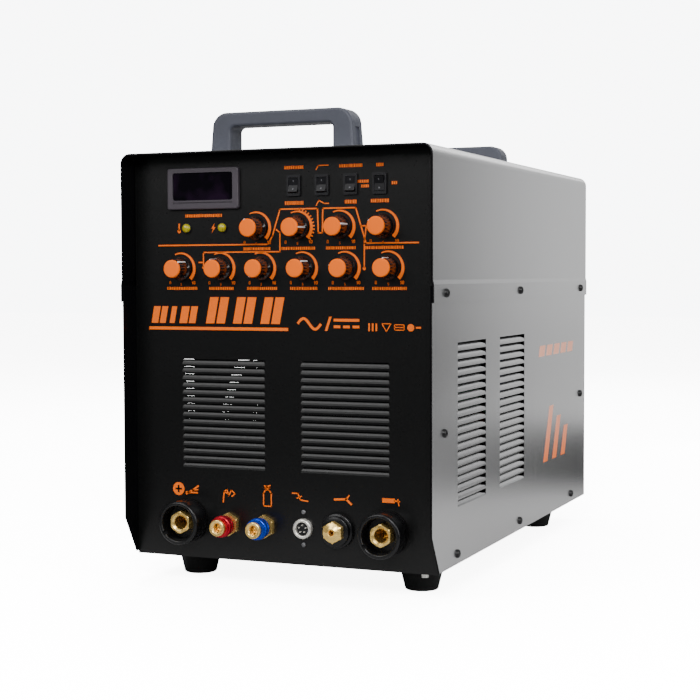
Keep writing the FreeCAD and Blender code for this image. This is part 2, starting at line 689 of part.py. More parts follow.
def rocker(x, tilt):
    """Rocker inside its well. tilt is positive with the top standing out."""
    drum = rod_x(ROCKER_PIVOT_Y, ROCKER_Z, ROCKER_R, x - 4.7, x + 4.7)
    end_z = 6.5
    end_y = ROCKER_PIVOT_Y - 2.6
    mid_y = ROCKER_PIVOT_Y - 1.1
    back_y = ROCKER_PIVOT_Y + 4.0
    side = polygon([
        vec(x - 5, mid_y, ROCKER_Z), vec(x - 5, end_y, ROCKER_Z + end_z), vec(x - 5, end_y, ROCKER_Z + 9),
        vec(x - 5, back_y, ROCKER_Z + 9), vec(x - 5, back_y, ROCKER_Z - 9), vec(x - 5, end_y, ROCKER_Z - 9),
        vec(x - 5, end_y, ROCKER_Z - end_z),
    ])
    body = drum.common(side.extrude(vec(10, 0, 0)))
    body = body.fuse(rod_x(ROCKER_PIVOT_Y, ROCKER_Z, 1.0, x - 5.6, x + 5.6)).removeSplitter()
    body.rotate(vec(x, ROCKER_PIVOT_Y, ROCKER_Z), X_AXIS, tilt)
    return body


# ---- front connections ----
def dinse_body(x):
    profile = [
        (9.0, -16.0), (14.0, -16.0), (14.0, 0.0), (DINSE_R, 0.0), (DINSE_R, DINSE_PROUD - 1.5),
        (DINSE_R - 1.5, DINSE_PROUD), (DINSE_CUP_R + 1.2, DINSE_PROUD), (DINSE_CUP_R, DINSE_PROUD - 1.2),
        (DINSE_CUP_R, 8.0), (9.0, 8.0),
    ]
    body = turned_y(x, DINSE_Z, FACE_Y, -1, profile)
    nut = hexagon_y(x, DINSE_Z, 36.0, FACE_Y + SHEET, FACE_Y + SHEET + 7)
    nut = nut.cut(rod_y(x, DINSE_Z, 13.0, FACE_Y, FACE_Y + 12))
    key = box(x + DINSE_CUP_R - 1.0, x + DINSE_CUP_R + 2.2, FACE_Y - DINSE_PROUD - 1,
              FACE_Y - DINSE_PROUD + 4.5, DINSE_Z - 2.0, DINSE_Z + 2.0)
    key.rotate(vec(x, FACE_Y, DINSE_Z), Y_AXIS, -DINSE_KEY_AT)
    return body.fuse(nut).cut(key)


def dinse_contact(x):
    """Brass contact: hexagon front with a keyed bore, and a stud at the back."""
    front = hexagon_y(x, DINSE_Z, 19.6, FACE_Y - 18.0, FACE_Y - 8.0, 30.0)
    chamfer = turned_y(x, DINSE_Z, FACE_Y, -1, [(0, 8.0), (11.5, 8.0), (11.5, 17.2), (10.6, 18.0), (0, 18.0)])
    front = front.common(chamfer)
    barrel = rod_y(x, DINSE_Z, 8.95, FACE_Y - 9.0, FACE_Y + 20.0)
    stud = rod_y(x, DINSE_Z, 5.0, FACE_Y + 19.0, FACE_Y + 36.0)
    contact = fuse_all(front, [barrel, stud])
    bore = rod_y(x, DINSE_Z, DINSE_BORE_R, FACE_Y - 19.0, FACE_Y + 12.0)
    sink = turned_y(x, DINSE_Z, FACE_Y, -1, [(0, 16.4), (DINSE_BORE_R, 16.4), (8.2, 18.1), (0, 18.1)])
    key = box(x + 3.0, x + DINSE_BORE_R + 1.4, FACE_Y - 19.0, FACE_Y - 6.0, DINSE_Z - 1.5, DINSE_Z + 1.5)
    return cut_all(contact, [bore, sink, key])


def coupler_body(x):
    """Brass quick coupler body: hexagon, barrel and ringed nose."""
    hexagon = hexagon_y(x, COUPLER_Z, 20.0, FACE_Y - 5.0, FACE_Y, 30.0)
    profile = [
        (COUPLER_BORE_R, -3.0), (2.0, -3.0), (2.0, -14.0), (5.0, -14.0), (5.0, 0.0), (5.2, 4.0), (5.2, 22.4),
        (6.6, 22.4), (6.6, 23.2), (7.7, 23.2), (7.9, 24.0), (7.9, COUPLER_PROUD - 0.8), (7.1, COUPLER_PROUD),
        (COUPLER_BORE_R + 1.4, COUPLER_PROUD), (COUPLER_BORE_R, COUPLER_PROUD - 1.4),
    ]
    barrel = turned_y(x, COUPLER_Z, FACE_Y, -1, profile)
    nut = hexagon_y(x, COUPLER_Z, 14.0, FACE_Y + SHEET, FACE_Y + SHEET + 4)
    hexes = hexagon.fuse(nut).cut(rod_y(x, COUPLER_Z, 4.6, FACE_Y - 8, FACE_Y + 16))
    return fuse_all(barrel, [hexes])


def coupler_sleeve(x):
    """Ringed release sleeve, free to slide on the coupler's barrel."""
    bore = 5.2 + FIT
    profile = [
        (bore, 9.0), (9.4, 9.0), (9.9, 9.6), (9.9, 11.6), (9.2, 12.2), (9.2, 13.0), (10.5, 13.8), (10.5, 18.2),
        (9.3, 19.0), (9.3, 19.8), (9.7, 20.2), (9.7, 21.4), (9.1, 22.0), (bore, 22.0),
    ]
    return turned_y(x, COUPLER_Z, FACE_Y, -1, profile)


def control_socket_shell():
    profile = [
        (7.9, -8.0), (7.9, 0.0), (CONTROL_R, 0.0), (CONTROL_R, 3.8), (CONTROL_R - 0.5, 4.7), (8.2, 5.2),
        (7.2, 5.2), (6.5, 4.6), (6.5, -8.0),
    ]
    shell = turned_y(CONTROL_X, CONTROL_Z, FACE_Y, -1, profile)
    pieces = [shell]
    for i in range(5):
        a = math.radians(72 * i + 90)
        x = CONTROL_X + 3.6 * math.cos(a)
        z = CONTROL_Z + 3.6 * math.sin(a)
        pieces.append(rod_y(x, z, 0.7, FACE_Y - 4.6, FACE_Y - 2.0))
    for side in (-1, 1):
        screw = turned_y(CONTROL_X, CONTROL_Z + side * 15.6, FACE_Y, -1,
                         [(0, 0), (2.2, 0), (2.0, 1.0), (1.2, 1.5), (0, 1.6)])
        pieces.append(screw)
    return Part.makeCompound(pieces)


def control_socket_insert():
    body = rod_y(CONTROL_X, CONTROL_Z, 6.45, FACE_Y - 2.0, FACE_Y + 7.0)
    key = box(CONTROL_X - 0.9, CONTROL_X + 0.9, FACE_Y - 4.0, FACE_Y - 1.5, CONTROL_Z - 6.2, CONTROL_Z - 4.7)
    return body.fuse(key)


def torch_socket_base():
    profile = [
        (7.0, -10.0), (8.0, -10.0), (8.0, 0.0), (16.6, 0.0), (16.6, 3.6), (15.8, 4.6), (14.4, 4.6),
        (14.4, 8.0), (13.4, 9.0), (7.0, 9.0),
    ]
    return turned_y(TORCH_X, TORCH_Z, FACE_Y, -1, profile)


def torch_socket_fitting():
    """Brass hexagon outlet with a coned front and a small gas hole, and a hose tail behind the panel."""
    hexagon = hexagon_y(TORCH_X, TORCH_Z, 18.4, FACE_Y - 17.5, FACE_Y - 9.0, 30.0)
    cone = turned_y(TORCH_X, TORCH_Z, FACE_Y, -1, [(0, 9.0), (10.8, 9.0), (10.8, 14.0), (4.2, 17.5), (0, 17.5)])
    front = hexagon.common(cone)
    barrel = rod_y(TORCH_X, TORCH_Z, 6.95, FACE_Y - 9.5, FACE_Y + 14.0)
    tail = rod_y(TORCH_X, TORCH_Z, 3.0, FACE_Y + 13.0, FACE_Y + 24.0)
    fitting = fuse_all(front, [barrel, tail])
    fitting = fitting.cut(rod_y(TORCH_X, TORCH_Z, 2.6, FACE_Y - 18.5, FACE_Y + 4.0))
    return fitting.cut(rod_y(TORCH_X, TORCH_Z, 1.5, FACE_Y + 3.0, FACE_Y + 25.0))


# ---- rear ----
def fan_frame():
    """Square fan housing with the motor boss on three struts."""
    half = FAN_SIZE / 2
    y1 = BACK_Y - SHEET
    y0 = y1 - FAN_DEPTH
    frame = rounded_plate_y(FAN_X, FAN_Z, FAN_SIZE, FAN_SIZE, 5.0, y0, y1)
    frame = frame.cut(rod_y(FAN_X, FAN_Z, FAN_BORE_R, y0 - 1, y1 + 1))
    boss = rod_y(FAN_X, FAN_Z, 28.0, y0, y0 + 5.0)
    struts = []
    for i in range(3):
        strut = box(FAN_X + 20, FAN_X + half - 1.5, y0, y0 + 4.0, FAN_Z - 3.0, FAN_Z + 3.0)
        strut.rotate(vec(FAN_X, y0, FAN_Z), Y_AXIS, 120 * i + 30)
        struts.append(strut)
    frame = fuse_all(frame, [boss] + struts)
    pitch = FAN_HOLE_PITCH / 2
    holes = [rod_y(FAN_X, FAN_Z, 2.5 + FIT, y0 - 1, y0 + 6)]
    for x in (FAN_X - pitch, FAN_X + pitch):
        for z in (FAN_Z - pitch, FAN_Z + pitch):
            holes.append(rod_y(x, z, 2.2, y0 - 1, y1 + 1))
    return cut_all(frame, holes)


def fan_rotor():
    y0 = BACK_Y - SHEET - FAN_DEPTH + 6.0
    y1 = BACK_Y - SHEET - 5.0
    hub = rod_y(FAN_X, FAN_Z, 27.0, y0, y1)
    blades = []
    mid_y = (y0 + y1) / 2
    for i in range(7):
        blade = box(FAN_X + 25, FAN_X + 58, mid_y - 17, mid_y + 17, FAN_Z - 1.0, FAN_Z + 1.0)
        blade.rotate(vec(FAN_X, mid_y, FAN_Z), X_AXIS, 42)
        blade.rotate(vec(FAN_X, mid_y, FAN_Z), Y_AXIS, 360 / 7 * i - 18)
        blades.append(blade)
    wheel = fuse_all(hub, blades).common(rod_y(FAN_X, FAN_Z, FAN_BORE_R - 2.0, y0, y1))
    shaft = rod_y(FAN_X, FAN_Z, 2.5, y0 - 5.5, y0 + 1)
    return wheel.fuse(shaft)


def fan_guard():
    """Wire finger guard: five rings on four spokes, held by the fan's corner screws."""
    wire = 1.2
    y = BACK_Y + 4.0
    rings = []
    for i in range(5):
        rings.append(Part.makeTorus(14.0 + 10.6 * i, wire, vec(FAN_X, y, FAN_Z), Y_AXIS))
    arms = []
    reach = FAN_HOLE_PITCH / 2 * math.sqrt(2)
    for i in range(4):
        arm = rod_z(FAN_X, y + 1.0, wire + 0.2, FAN_Z + 12.0, FAN_Z + 60.0)
        drop = Part.makeBox(2 * wire, 6.0, 14.5, vec(FAN_X - wire, BACK_Y, FAN_Z + 58.0))
        drop = drop.cut(Part.makeBox(4 * wire, 6.0, 14.5, vec(FAN_X - 2 * wire, BACK_Y + 2.4, FAN_Z + 61.0)))
        eye = rod_y(FAN_X, FAN_Z + reach, 4.6, BACK_Y, BACK_Y + 2.4)
        spoke = arm.fuse([drop, eye]).cut(rod_y(FAN_X, FAN_Z + reach, 2.2, BACK_Y - 1, BACK_Y + 3))
        spoke.rotate(vec(FAN_X, y, FAN_Z), Y_AXIS, 45 + 90 * i)
        arms.append(spoke)
    return fuse_all(rings[0], rings[1:] + arms)


def main_breaker():
    """Two-pole breaker: its body is inside and its nose stands through the rear panel."""
    inside = BACK_Y - SHEET
    body = box(BREAKER_X - 26, BREAKER_X + 26, inside - 58, inside, REAR_ROW_Z - 40, REAR_ROW_Z + 40)
    nose = rounded_plate_y(BREAKER_X, REAR_ROW_Z, 36.0, 46.0, 1.0, inside - 1, BACK_Y + 10.0)
    case = body.fuse(nose)
    well = box(BREAKER_X - 13.2, BREAKER_X + 13.2, BREAKER_PIVOT_Y - 8.2, BACK_Y + 11,
               REAR_ROW_Z - 9.6, REAR_ROW_Z + 9.6)
    pins = rod_x(BREAKER_PIVOT_Y, REAR_ROW_Z, 1.5 + FIT, BREAKER_X - 15, BREAKER_X + 15)
    return cut_all(case, [well, pins]).removeSplitter()


def breaker_lever():
    """Joined toggle of the breaker, down in the off position."""
    drum = rod_x(BREAKER_PIVOT_Y, REAR_ROW_Z, 7.4, BREAKER_X - 12.8, BREAKER_X + 12.8)
    pin = rod_x(BREAKER_PIVOT_Y, REAR_ROW_Z, 1.5, BREAKER_X - 14.6, BREAKER_X + 14.6)
    tip_y = BREAKER_PIVOT_Y + 16.0
    arm = polygon([
        vec(BREAKER_X - 11, BREAKER_PIVOT_Y, REAR_ROW_Z - 3.6), vec(BREAKER_X - 11, tip_y, REAR_ROW_Z - 2.2),
        vec(BREAKER_X - 11, tip_y, REAR_ROW_Z + 2.2), vec(BREAKER_X - 11, BREAKER_PIVOT_Y, REAR_ROW_Z + 3.6),
    ]).extrude(vec(22, 0, 0))
    lever = fuse_all(drum, [arm, pin])
    lever.rotate(vec(BREAKER_X, BREAKER_PIVOT_Y, REAR_ROW_Z), X_AXIS, -LEVER_TILT)
    return lever


def cable_gland():
    hexagon = hexagon_y(GLAND_X, REAR_ROW_Z, 25.0, BACK_Y, BACK_Y + 5.0)
    profile = [
        (6.5, -14.0), (10.0, -14.0), (10.0, 0.0), (11.4, 4.0), (11.4, 6.0), (12.2, 6.6), (12.2, 12.0),
        (10.6, 16.0), (8.0, 17.6), (6.5, 17.6),
    ]
    barrel = turned_y(GLAND_X, REAR_ROW_Z, BACK_Y, 1, profile)
    inside = BACK_Y - SHEET
    nut = hexagon_y(GLAND_X, REAR_ROW_Z, 25.0, inside - 5, inside)
    hexes = hexagon.fuse(nut).cut(rod_y(GLAND_X, REAR_ROW_Z, 8.0, BACK_Y - 16, BACK_Y + 10))
    return fuse_all(barrel, [hexes])


def gas_inlet():
    """Brass bulkhead with a hose barb outside."""
    hexagon = hexagon_y(GAS_X, REAR_ROW_Z, 17.0, BACK_Y, BACK_Y + 5.0)
    profile = [
        (2.5, -16.0), (6.0, -16.0), (6.0, 0.0), (6.2, 4.0), (5.0, 6.0), (5.6, 7.0), (4.6, 11.0), (5.6, 11.0),
        (4.6, 15.0), (5.6, 15.0), (4.2, 19.0), (2.5, 19.0),
    ]
    barrel = turned_y(GAS_X, REAR_ROW_Z, BACK_Y, 1, profile)
    inside = BACK_Y - SHEET
    nut = hexagon_y(GAS_X, REAR_ROW_Z, 17.0, inside - 4, inside)
    hexes = hexagon.fuse(nut).cut(rod_y(GAS_X, REAR_ROW_Z, 4.0, BACK_Y - 20, BACK_Y + 10))
    return fuse_all(barrel, [hexes])


# ---- inside ----
def control_board():
    y0 = FACE_Y + SHEET + 11.0
    board = box(-130, 130, y0, y0 + BOARD, 294, 362)
    chips = []
    for x, w in ((-90, 22), (-30, 30), (40, 24), (95, 18)):
        chips.append(box(x - w / 2, x + w / 2, y0 + BOARD - 0.5, y0 + BOARD + 4, 320, 334))
    return fuse_all(board, chips)


def heat_sinks():
    sinks = []
    for x0 in (-SINK_W - 5.0, 5.0):
        web = box(x0, x0 + SINK_W, SINK_Y[0], SINK_Y[1], SINK_TOP_Z - 8, SINK_TOP_Z)
        fins = []
        for i in range(FIN_COUNT):
            fx = x0 + i * (SINK_W - FIN) / (FIN_COUNT - 1)
            fins.append(box(fx, fx + FIN, SINK_Y[0], SINK_Y[1], PAN_TOP, SINK_TOP_Z - 7))
        sinks.append(fuse_all(web, fins))
    return Part.makeCompound(sinks)


def power_board():
    board = box(-118, 118, 25, 195, SINK_TOP_Z, SINK_TOP_Z + BOARD)
    blocks = []
    for i in range(4):
        x = -96 + 52 * i
        blocks.append(box(x, x + 36, 60, 92, SINK_TOP_Z + 1, SINK_TOP_Z + 24))
    return fuse_all(board, blocks)


def capacitors():
    cans = []
    z0 = SINK_TOP_Z + BOARD
    for i in range(4):
        cans.append(rod_z(-84 + 56 * i, 145, 17.5, z0, z0 + 50))
    return Part.makeCompound(cans)


def transformer_core():
    x0, x1, y0, y1 = CORE
    core = box(x0, x1, y0 + 12, y1 - 12, PAN_TOP, PAN_TOP + 84)
    windows = []
    for side in (-1, 1):
        a, b = sorted((side * 12.0, side * 34.0))
        windows.append(box(a, b, y0, y1, PAN_TOP + 16, PAN_TOP + 68))
    return cut_all(core, windows)


def transformer_windings():
    y0, y1 = CORE[2], CORE[3]
    coil = box(-33.0, 33.0, y0, y1, PAN_TOP + 17, PAN_TOP + 67)
    corners = [e for e in coil.Edges if abs(e.tangentAt(e.FirstParameter).z) > 0.99]
    coil = coil.makeFillet(9.0, corners)
    return coil.cut(box(-12.5, 12.5, y0 + 11.5, y1 - 11.5, PAN_TOP + 10, PAN_TOP + 75))


def output_reactor():
    ring = Part.makeTorus(28.0, 14.0, vec(100, -140, PAN_TOP + 17), Z_AXIS)
    return ring.fuse(rod_z(100, -140, 30.0, PAN_TOP, PAN_TOP + 6))


def hf_unit():
    x0, y0 = -148.0, -150.0
    board = box(x0, x0 + 60, y0, y0 + 90, PAN_TOP + 6, PAN_TOP + 8)
    pieces = [
        box(x0 + 6, x0 + 54, y0 + 8, y0 + 52, PAN_TOP + 7, PAN_TOP + 60),
        box(x0 + 10, x0 + 30, y0 + 60, y0 + 82, PAN_TOP + 7, PAN_TOP + 30),
    ]
    for x in (x0 + 4, x0 + 56):
        for y in (y0 + 4, y0 + 86):
            pieces.append(rod_z(x, y, 2.5, PAN_TOP, PAN_TOP + 7))
    return fuse_all(board, pieces)


def gas_solenoid():
    y0, y1 = SOLENOID_Y
    block = box(GAS_X - 14, GAS_X + 14, y0 + 10, y1, REAR_ROW_Z - 12, REAR_ROW_Z + 12)
    coil = rod_z(GAS_X, y0 + 32, 15.0, REAR_ROW_Z + 11, REAR_ROW_Z + 46)
    tail = rod_y(GAS_X, REAR_ROW_Z, 3.0, y0, y0 + 11)
    bracket = box(GAS_X - 14, GAS_X + 14, y1 - 2, BACK_Y - SHEET - 2, REAR_ROW_Z - 25, REAR_ROW_Z - 22)
    leg = box(GAS_X - 14, GAS_X + 14, y1 - 4, y1 - 1, REAR_ROW_Z - 25, REAR_ROW_Z - 10)
    return fuse_all(block, [coil, tail, bracket, leg])


def bus_bars():
    """Copper straps from the power board to the studs of the two welding sockets."""
    bars = []
    thick = 3.0
    for x in DINSE_XS:
        y0 = FACE_Y + 24.0
        up = box(x - 10, x + 10, y0, y0 + thick, DINSE_Z - 12, SINK_TOP_Z - 10)
        up = up.cut(rod_y(x, DINSE_Z, 5.05, y0 - 1, y0 + thick + 1))
        along = box(x - 10, x + 10, y0, 28.0, SINK_TOP_Z - 13, SINK_TOP_Z - 10)
        end = box(x - 10, x + 10, 25.0, 28.0, SINK_TOP_Z - 13, SINK_TOP_Z)
        bars.append(fuse_all(up, [along, end]))
    return Part.makeCompound(bars)


def gas_hose():
    """Hose from the solenoid along the left side, down and across to the torch connector's tail."""
    y_front = FACE_Y + 58.0
    low_z = 102.0
    corners = [
        vec(GAS_X, SOLENOID_Y[0] + 8, REAR_ROW_Z), vec(GAS_X, y_front, REAR_ROW_Z),
        vec(GAS_X, y_front, low_z), vec(TORCH_X, y_front, low_z), vec(TORCH_X, y_front, TORCH_Z),
        vec(TORCH_X, FACE_Y + 15.0, TORCH_Z),
    ]
    radii = (30.0, 30.0, 20.0, 19.0)
    edges = []
    start = corners[0]
    for i in range(1, len(corners) - 1):
        before = (corners[i - 1] - corners[i]).normalize()
        after = (corners[i + 1] - corners[i]).normalize()
        r = radii[i - 1]
        a = corners[i] + before * r
        b = corners[i] + after * r
        centre = corners[i] + before * r + after * r
        m = centre - (before + after).normalize() * r
        if (a - start).Length > 0.01:
            edges.append(Part.makeLine(start, a))
        edges.append(Part.Arc(a, m, b).toShape())
        start = b
    edges.append(Part.makeLine(start, corners[-1]))
    path = Part.Wire(edges)
    outer = path.makePipeShell([Part.Wire(Part.makeCircle(5.0, corners[0], Y_AXIS))], True, True)
    inner = path.makePipeShell([Part.Wire(Part.makeCircle(3.0, corners[0], Y_AXIS))], True, True)
    return outer.cut(inner)


def main():
    os.makedirs("parts", exist_ok=True)
    right = right_side_panel()
    shapes = {
        "base_pan": base_pan(),
        "front_panel": front_panel(),
        "rear_panel": rear_panel(),
        "right_side_panel": right,
        "left_side_panel": mirror_x(right),
        "top_cover": top_cover(),
        "front_handle": handle(HANDLE_YS[0]),
        "rear_handle": handle(HANDLE_YS[1]),
        "rubber_feet": rubber_feet(),
        "case_screws": case_screws(),
        "chassis_bolts": chassis_bolts(),
        "display_bezel": display_bezel(),
        "display_window": display_window(),
        "indicator_lamps": indicator_lamps(),
        "potentiometers": potentiometers(),
        "rocker_frames": rocker_frames(),
        "positive_socket_body": dinse_body(DINSE_XS[0]),
        "positive_socket_contact": dinse_contact(DINSE_XS[0]),
        "negative_socket_body": dinse_body(DINSE_XS[1]),
        "negative_socket_contact": dinse_contact(DINSE_XS[1]),
        "red_coupler_body": coupler_body(COUPLER_XS[0]),
        "blue_coupler_body": coupler_body(COUPLER_XS[1]),
        "red_coupler_sleeve": coupler_sleeve(COUPLER_XS[0]),
        "blue_coupler_sleeve": coupler_sleeve(COUPLER_XS[1]),
        "control_socket_shell": control_socket_shell(),
        "control_socket_insert": control_socket_insert(),
        "torch_socket_base": torch_socket_base(),
        "torch_socket_fitting": torch_socket_fitting(),
        "fan_frame": fan_frame(),
        "fan_rotor": fan_rotor(),
        "fan_guard": fan_guard(),
        "main_breaker": main_breaker(),
        "breaker_lever": breaker_lever(),
        "cable_gland": cable_gland(),
        "gas_inlet": gas_inlet(),
        "control_board": control_board(),
        "heat_sinks": heat_sinks(),
        "power_board": power_board(),
        "capacitors": capacitors(),
        "transformer_core": transformer_core(),
        "transformer_windings": transformer_windings(),
        "output_reactor": output_reactor(),
        "hf_unit": hf_unit(),
        "gas_solenoid": gas_solenoid(),
        "bus_bars": bus_bars(),
        "gas_hose": gas_hose(),
    }
    for i, (x, z) in enumerate(knob_places()):
        shapes["knob_%d" % (i + 1)] = knob(x, z, KNOB_POINTERS[i])
    for i, x in enumerate(ROCKER_XS):
        tilt = ROCKER_TILT if i == 3 else -ROCKER_TILT
        shapes["rocker_%d" % (i + 1)] = rocker(x, tilt)
    for name in sorted(shapes):
        shape = shapes[name]
        room = shape.BoundBox
        print("%-26s solids %2d valid %s vol %10.0f  x %7.1f %7.1f y %7.1f %7.1f z %6.1f %6.1f" % (
            name, len(shape.Solids), shape.isValid(), shape.Volume, room.XMin, room.XMax,
            room.YMin, room.YMax, room.ZMin, room.ZMax))
        shape.exportStep("parts/%s.step" % name)


main()
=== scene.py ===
import json
import math
import random

import bmesh
import bpy
from mathutils import Matrix, Vector


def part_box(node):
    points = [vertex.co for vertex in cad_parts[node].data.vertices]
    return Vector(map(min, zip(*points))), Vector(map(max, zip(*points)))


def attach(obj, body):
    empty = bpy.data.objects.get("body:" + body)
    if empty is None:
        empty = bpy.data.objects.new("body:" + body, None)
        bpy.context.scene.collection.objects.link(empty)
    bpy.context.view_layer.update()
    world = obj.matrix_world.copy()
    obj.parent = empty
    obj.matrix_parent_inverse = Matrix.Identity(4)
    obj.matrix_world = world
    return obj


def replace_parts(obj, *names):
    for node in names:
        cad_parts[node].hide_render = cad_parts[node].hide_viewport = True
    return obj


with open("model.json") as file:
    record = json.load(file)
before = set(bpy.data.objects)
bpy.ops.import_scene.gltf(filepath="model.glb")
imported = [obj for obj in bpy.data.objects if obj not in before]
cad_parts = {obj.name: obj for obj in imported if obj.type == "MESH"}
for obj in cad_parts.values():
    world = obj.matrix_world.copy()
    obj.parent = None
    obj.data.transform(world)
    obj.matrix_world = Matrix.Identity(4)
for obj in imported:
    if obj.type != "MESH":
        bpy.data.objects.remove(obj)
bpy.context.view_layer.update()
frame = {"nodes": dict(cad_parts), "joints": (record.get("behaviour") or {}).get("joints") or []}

MM = 0.001
TAU = 2 * math.pi
nodes = frame["nodes"]
joint_of = {j["child"]: j for j in frame["joints"]}
collection = bpy.context.scene.collection

SHEET = 1.5 * MM                                  # thickness of the casing's sheets
FACE_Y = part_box("base_pan")[0].y - SHEET          # front panel's outer face
SIDE_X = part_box("right_side_panel")[1].x
INK = 0.12 * MM                                   # thickness of a print
ORANGE = (0.98, 0.165, 0.004)
KNOBS = 10
ROCKERS = 4
ROCKER_TILT = 10.0                                # degrees to either side of level
LAMP_RING_R = 5.0                                 # mm, outer radius of an indicator lamp's ring
CORNERS = ((-1, -1), (1, -1), (1, 1), (-1, 1))    # of a square, in order round it


# ---------------------------------------------------------------- camera, stage and light
def make_camera():
    """Camera at the front right, a little above the middle of the machine and level to within 3 degrees."""
    yaw, pitch, roll = (math.radians(a) for a in (22.67, 2.83, 0.20))
    level_right = Vector((math.cos(yaw), math.sin(yaw), 0))
    level_ahead = Vector((-math.sin(yaw), math.cos(yaw), 0))
    down = Vector((0, 0, -1))
    ahead = level_ahead * math.cos(pitch) + down * math.sin(pitch)
    below = down * math.cos(pitch) - level_ahead * math.sin(pitch)
    right = level_right * math.cos(roll) + below * math.sin(roll)
    below = below * math.cos(roll) - level_right * math.sin(roll)
    data = bpy.data.cameras.new("camera")
    data.sensor_width = 36.0
    data.lens = 78.17
    data.clip_start = 0.05
    data.clip_end = 60.0
    camera = bpy.data.objects.new("camera", data)
    collection.objects.link(camera)
    turn = Matrix((right, -below, -ahead)).transposed()
    camera.matrix_world = Matrix.Translation((0.6165, -1.5652, 0.3020)) @ turn.to_4x4()
    bpy.context.scene.camera = camera


def area_light(name, place, target, width, height, power):
    data = bpy.data.lights.new(name, "AREA")
    data.shape = "RECTANGLE"
    data.size = width
    data.size_y = height
    data.energy = power
    lamp = bpy.data.objects.new(name, data)
    lamp.location = place
    aim = Vector(target) - Vector(place)
    lamp.rotation_euler = aim.to_track_quat("-Z", "Y").to_euler()
    lamp.visible_camera = False
    collection.objects.link(lamp)


def make_stage():
    mesh = bpy.data.meshes.new("floor")
    mesh.from_pydata([(-9, -9, 0), (9, -9, 0), (9, 9, 0), (-9, 9, 0)], [], [(0, 1, 2, 3)])
    floor = bpy.data.objects.new("floor", mesh)
    collection.objects.link(floor)
    floor.data.materials.append(floor_material())
    bpy.context.scene.world = studio_world()
    centre = (0, 0, 0.2)
    area_light("key", (0.9, -2.6, 1.7), centre, 1.2, 1.2, 64)
    area_light("top", (-0.5, 0.3, 2.6), centre, 2.2, 2.2, 50)
    area_light("rear_right", (0.39, 1.2, 0.770), (0.28, 0, 0.770), 0.45, 1.5, 1.75)
    area_light("rear_top", (-0.3, 2.5, 1.45), (0, 0, 0.42), 1.8, 0.9, 9.0)
    area_light("right_side", (2.1, -0.5, 0.8), (0, -0.28, 0.3), 1.3, 1.5, 36)
    area_light("front_left", (-0.95, -2.0, 1.5), (0, -0.28, 0.17), 1.3, 1.3, 26)
    card("pale_card", (0.44, 1.9), (0.2, 1.9), 0.23)


def card(name, across, along, tone):
    """Sheet that lies on the floor out of the picture and is only there to be reflected in the side panel."""
    mesh = bpy.data.meshes.new(name)
    z = 0.003
    mesh.from_pydata([(x, y, z) for x in across for y in along], [], [(0, 2, 3, 1)])
    sheet = bpy.data.objects.new(name, mesh)
    collection.objects.link(sheet)
    material = bpy.data.materials.new(name)
    material.use_nodes = True
    shader = material.node_tree.nodes["Principled BSDF"]
    shader.inputs["Base Color"].default_value = (tone, tone, tone, 1)
    shader.inputs["Roughness"].default_value = 0.8
    mesh.materials.append(material)
    sheet.visible_camera = False
    sheet.visible_shadow = False


def studio_world():
    """White behind the object, and a dim room in everything that the object reflects."""
    world = bpy.data.worlds.new("studio")
    world.use_nodes = True
    tree = world.node_tree
    path = tree.nodes.new("ShaderNodeLightPath")
    strength = tree.nodes.new("ShaderNodeMapRange")
    strength.inputs["To Min"].default_value = 0.20
    strength.inputs["To Max"].default_value = 8.5
    tree.links.new(path.outputs["Is Camera Ray"], strength.inputs["Value"])
    tree.links.new(strength.outputs["Result"], tree.nodes["Background"].inputs["Strength"])
    tree.nodes["Background"].inputs["Color"].default_value = (0.97, 0.985, 1.0, 1)
    return world


def floor_material():
    """White sweep near the object that gives way to a dark studio floor in the reflections."""
    material = bpy.data.materials.new("floor")
    material.use_nodes = True
    tree = material.node_tree
    tree.nodes.remove(tree.nodes["Principled BSDF"])
    place = tree.nodes.new("ShaderNodeTexCoord")
    distance = tree.nodes.new("ShaderNodeVectorMath")
    distance.operation = "LENGTH"
    tree.links.new(place.outputs["Object"], distance.inputs[0])
    white = tree.nodes.new("ShaderNodeMapRange")
    for key, value in (("From Min", 0.47), ("From Max", 0.70), ("To Min", 0.60), ("To Max", 0.04)):
        white.inputs[key].default_value = value
    tree.links.new(distance.outputs["Value"], white.inputs["Value"])
    near = tree.nodes.new("ShaderNodeBsdfDiffuse")
    tree.links.new(white.outputs["Result"], near.inputs["Color"])
    seen = tree.nodes.new("ShaderNodeBsdfDiffuse")
    seen.inputs["Color"].default_value = (5, 5, 5, 1)
    glow = tree.nodes.new("ShaderNodeEmission")
    glow.inputs["Strength"].default_value = 7.6
    both = tree.nodes.new("ShaderNodeAddShader")
    tree.links.new(seen.outputs[0], both.inputs[0])
    tree.links.new(glow.outputs[0], both.inputs[1])
    path = tree.nodes.new("ShaderNodeLightPath")
    mix = tree.nodes.new("ShaderNodeMixShader")
    tree.links.new(path.outputs["Is Camera Ray"], mix.inputs["Fac"])
    tree.links.new(near.outputs[0], mix.inputs[1])
    tree.links.new(both.outputs[0], mix.inputs[2])
    tree.links.new(mix.outputs[0], tree.nodes["Material Output"].inputs["Surface"])
    return material


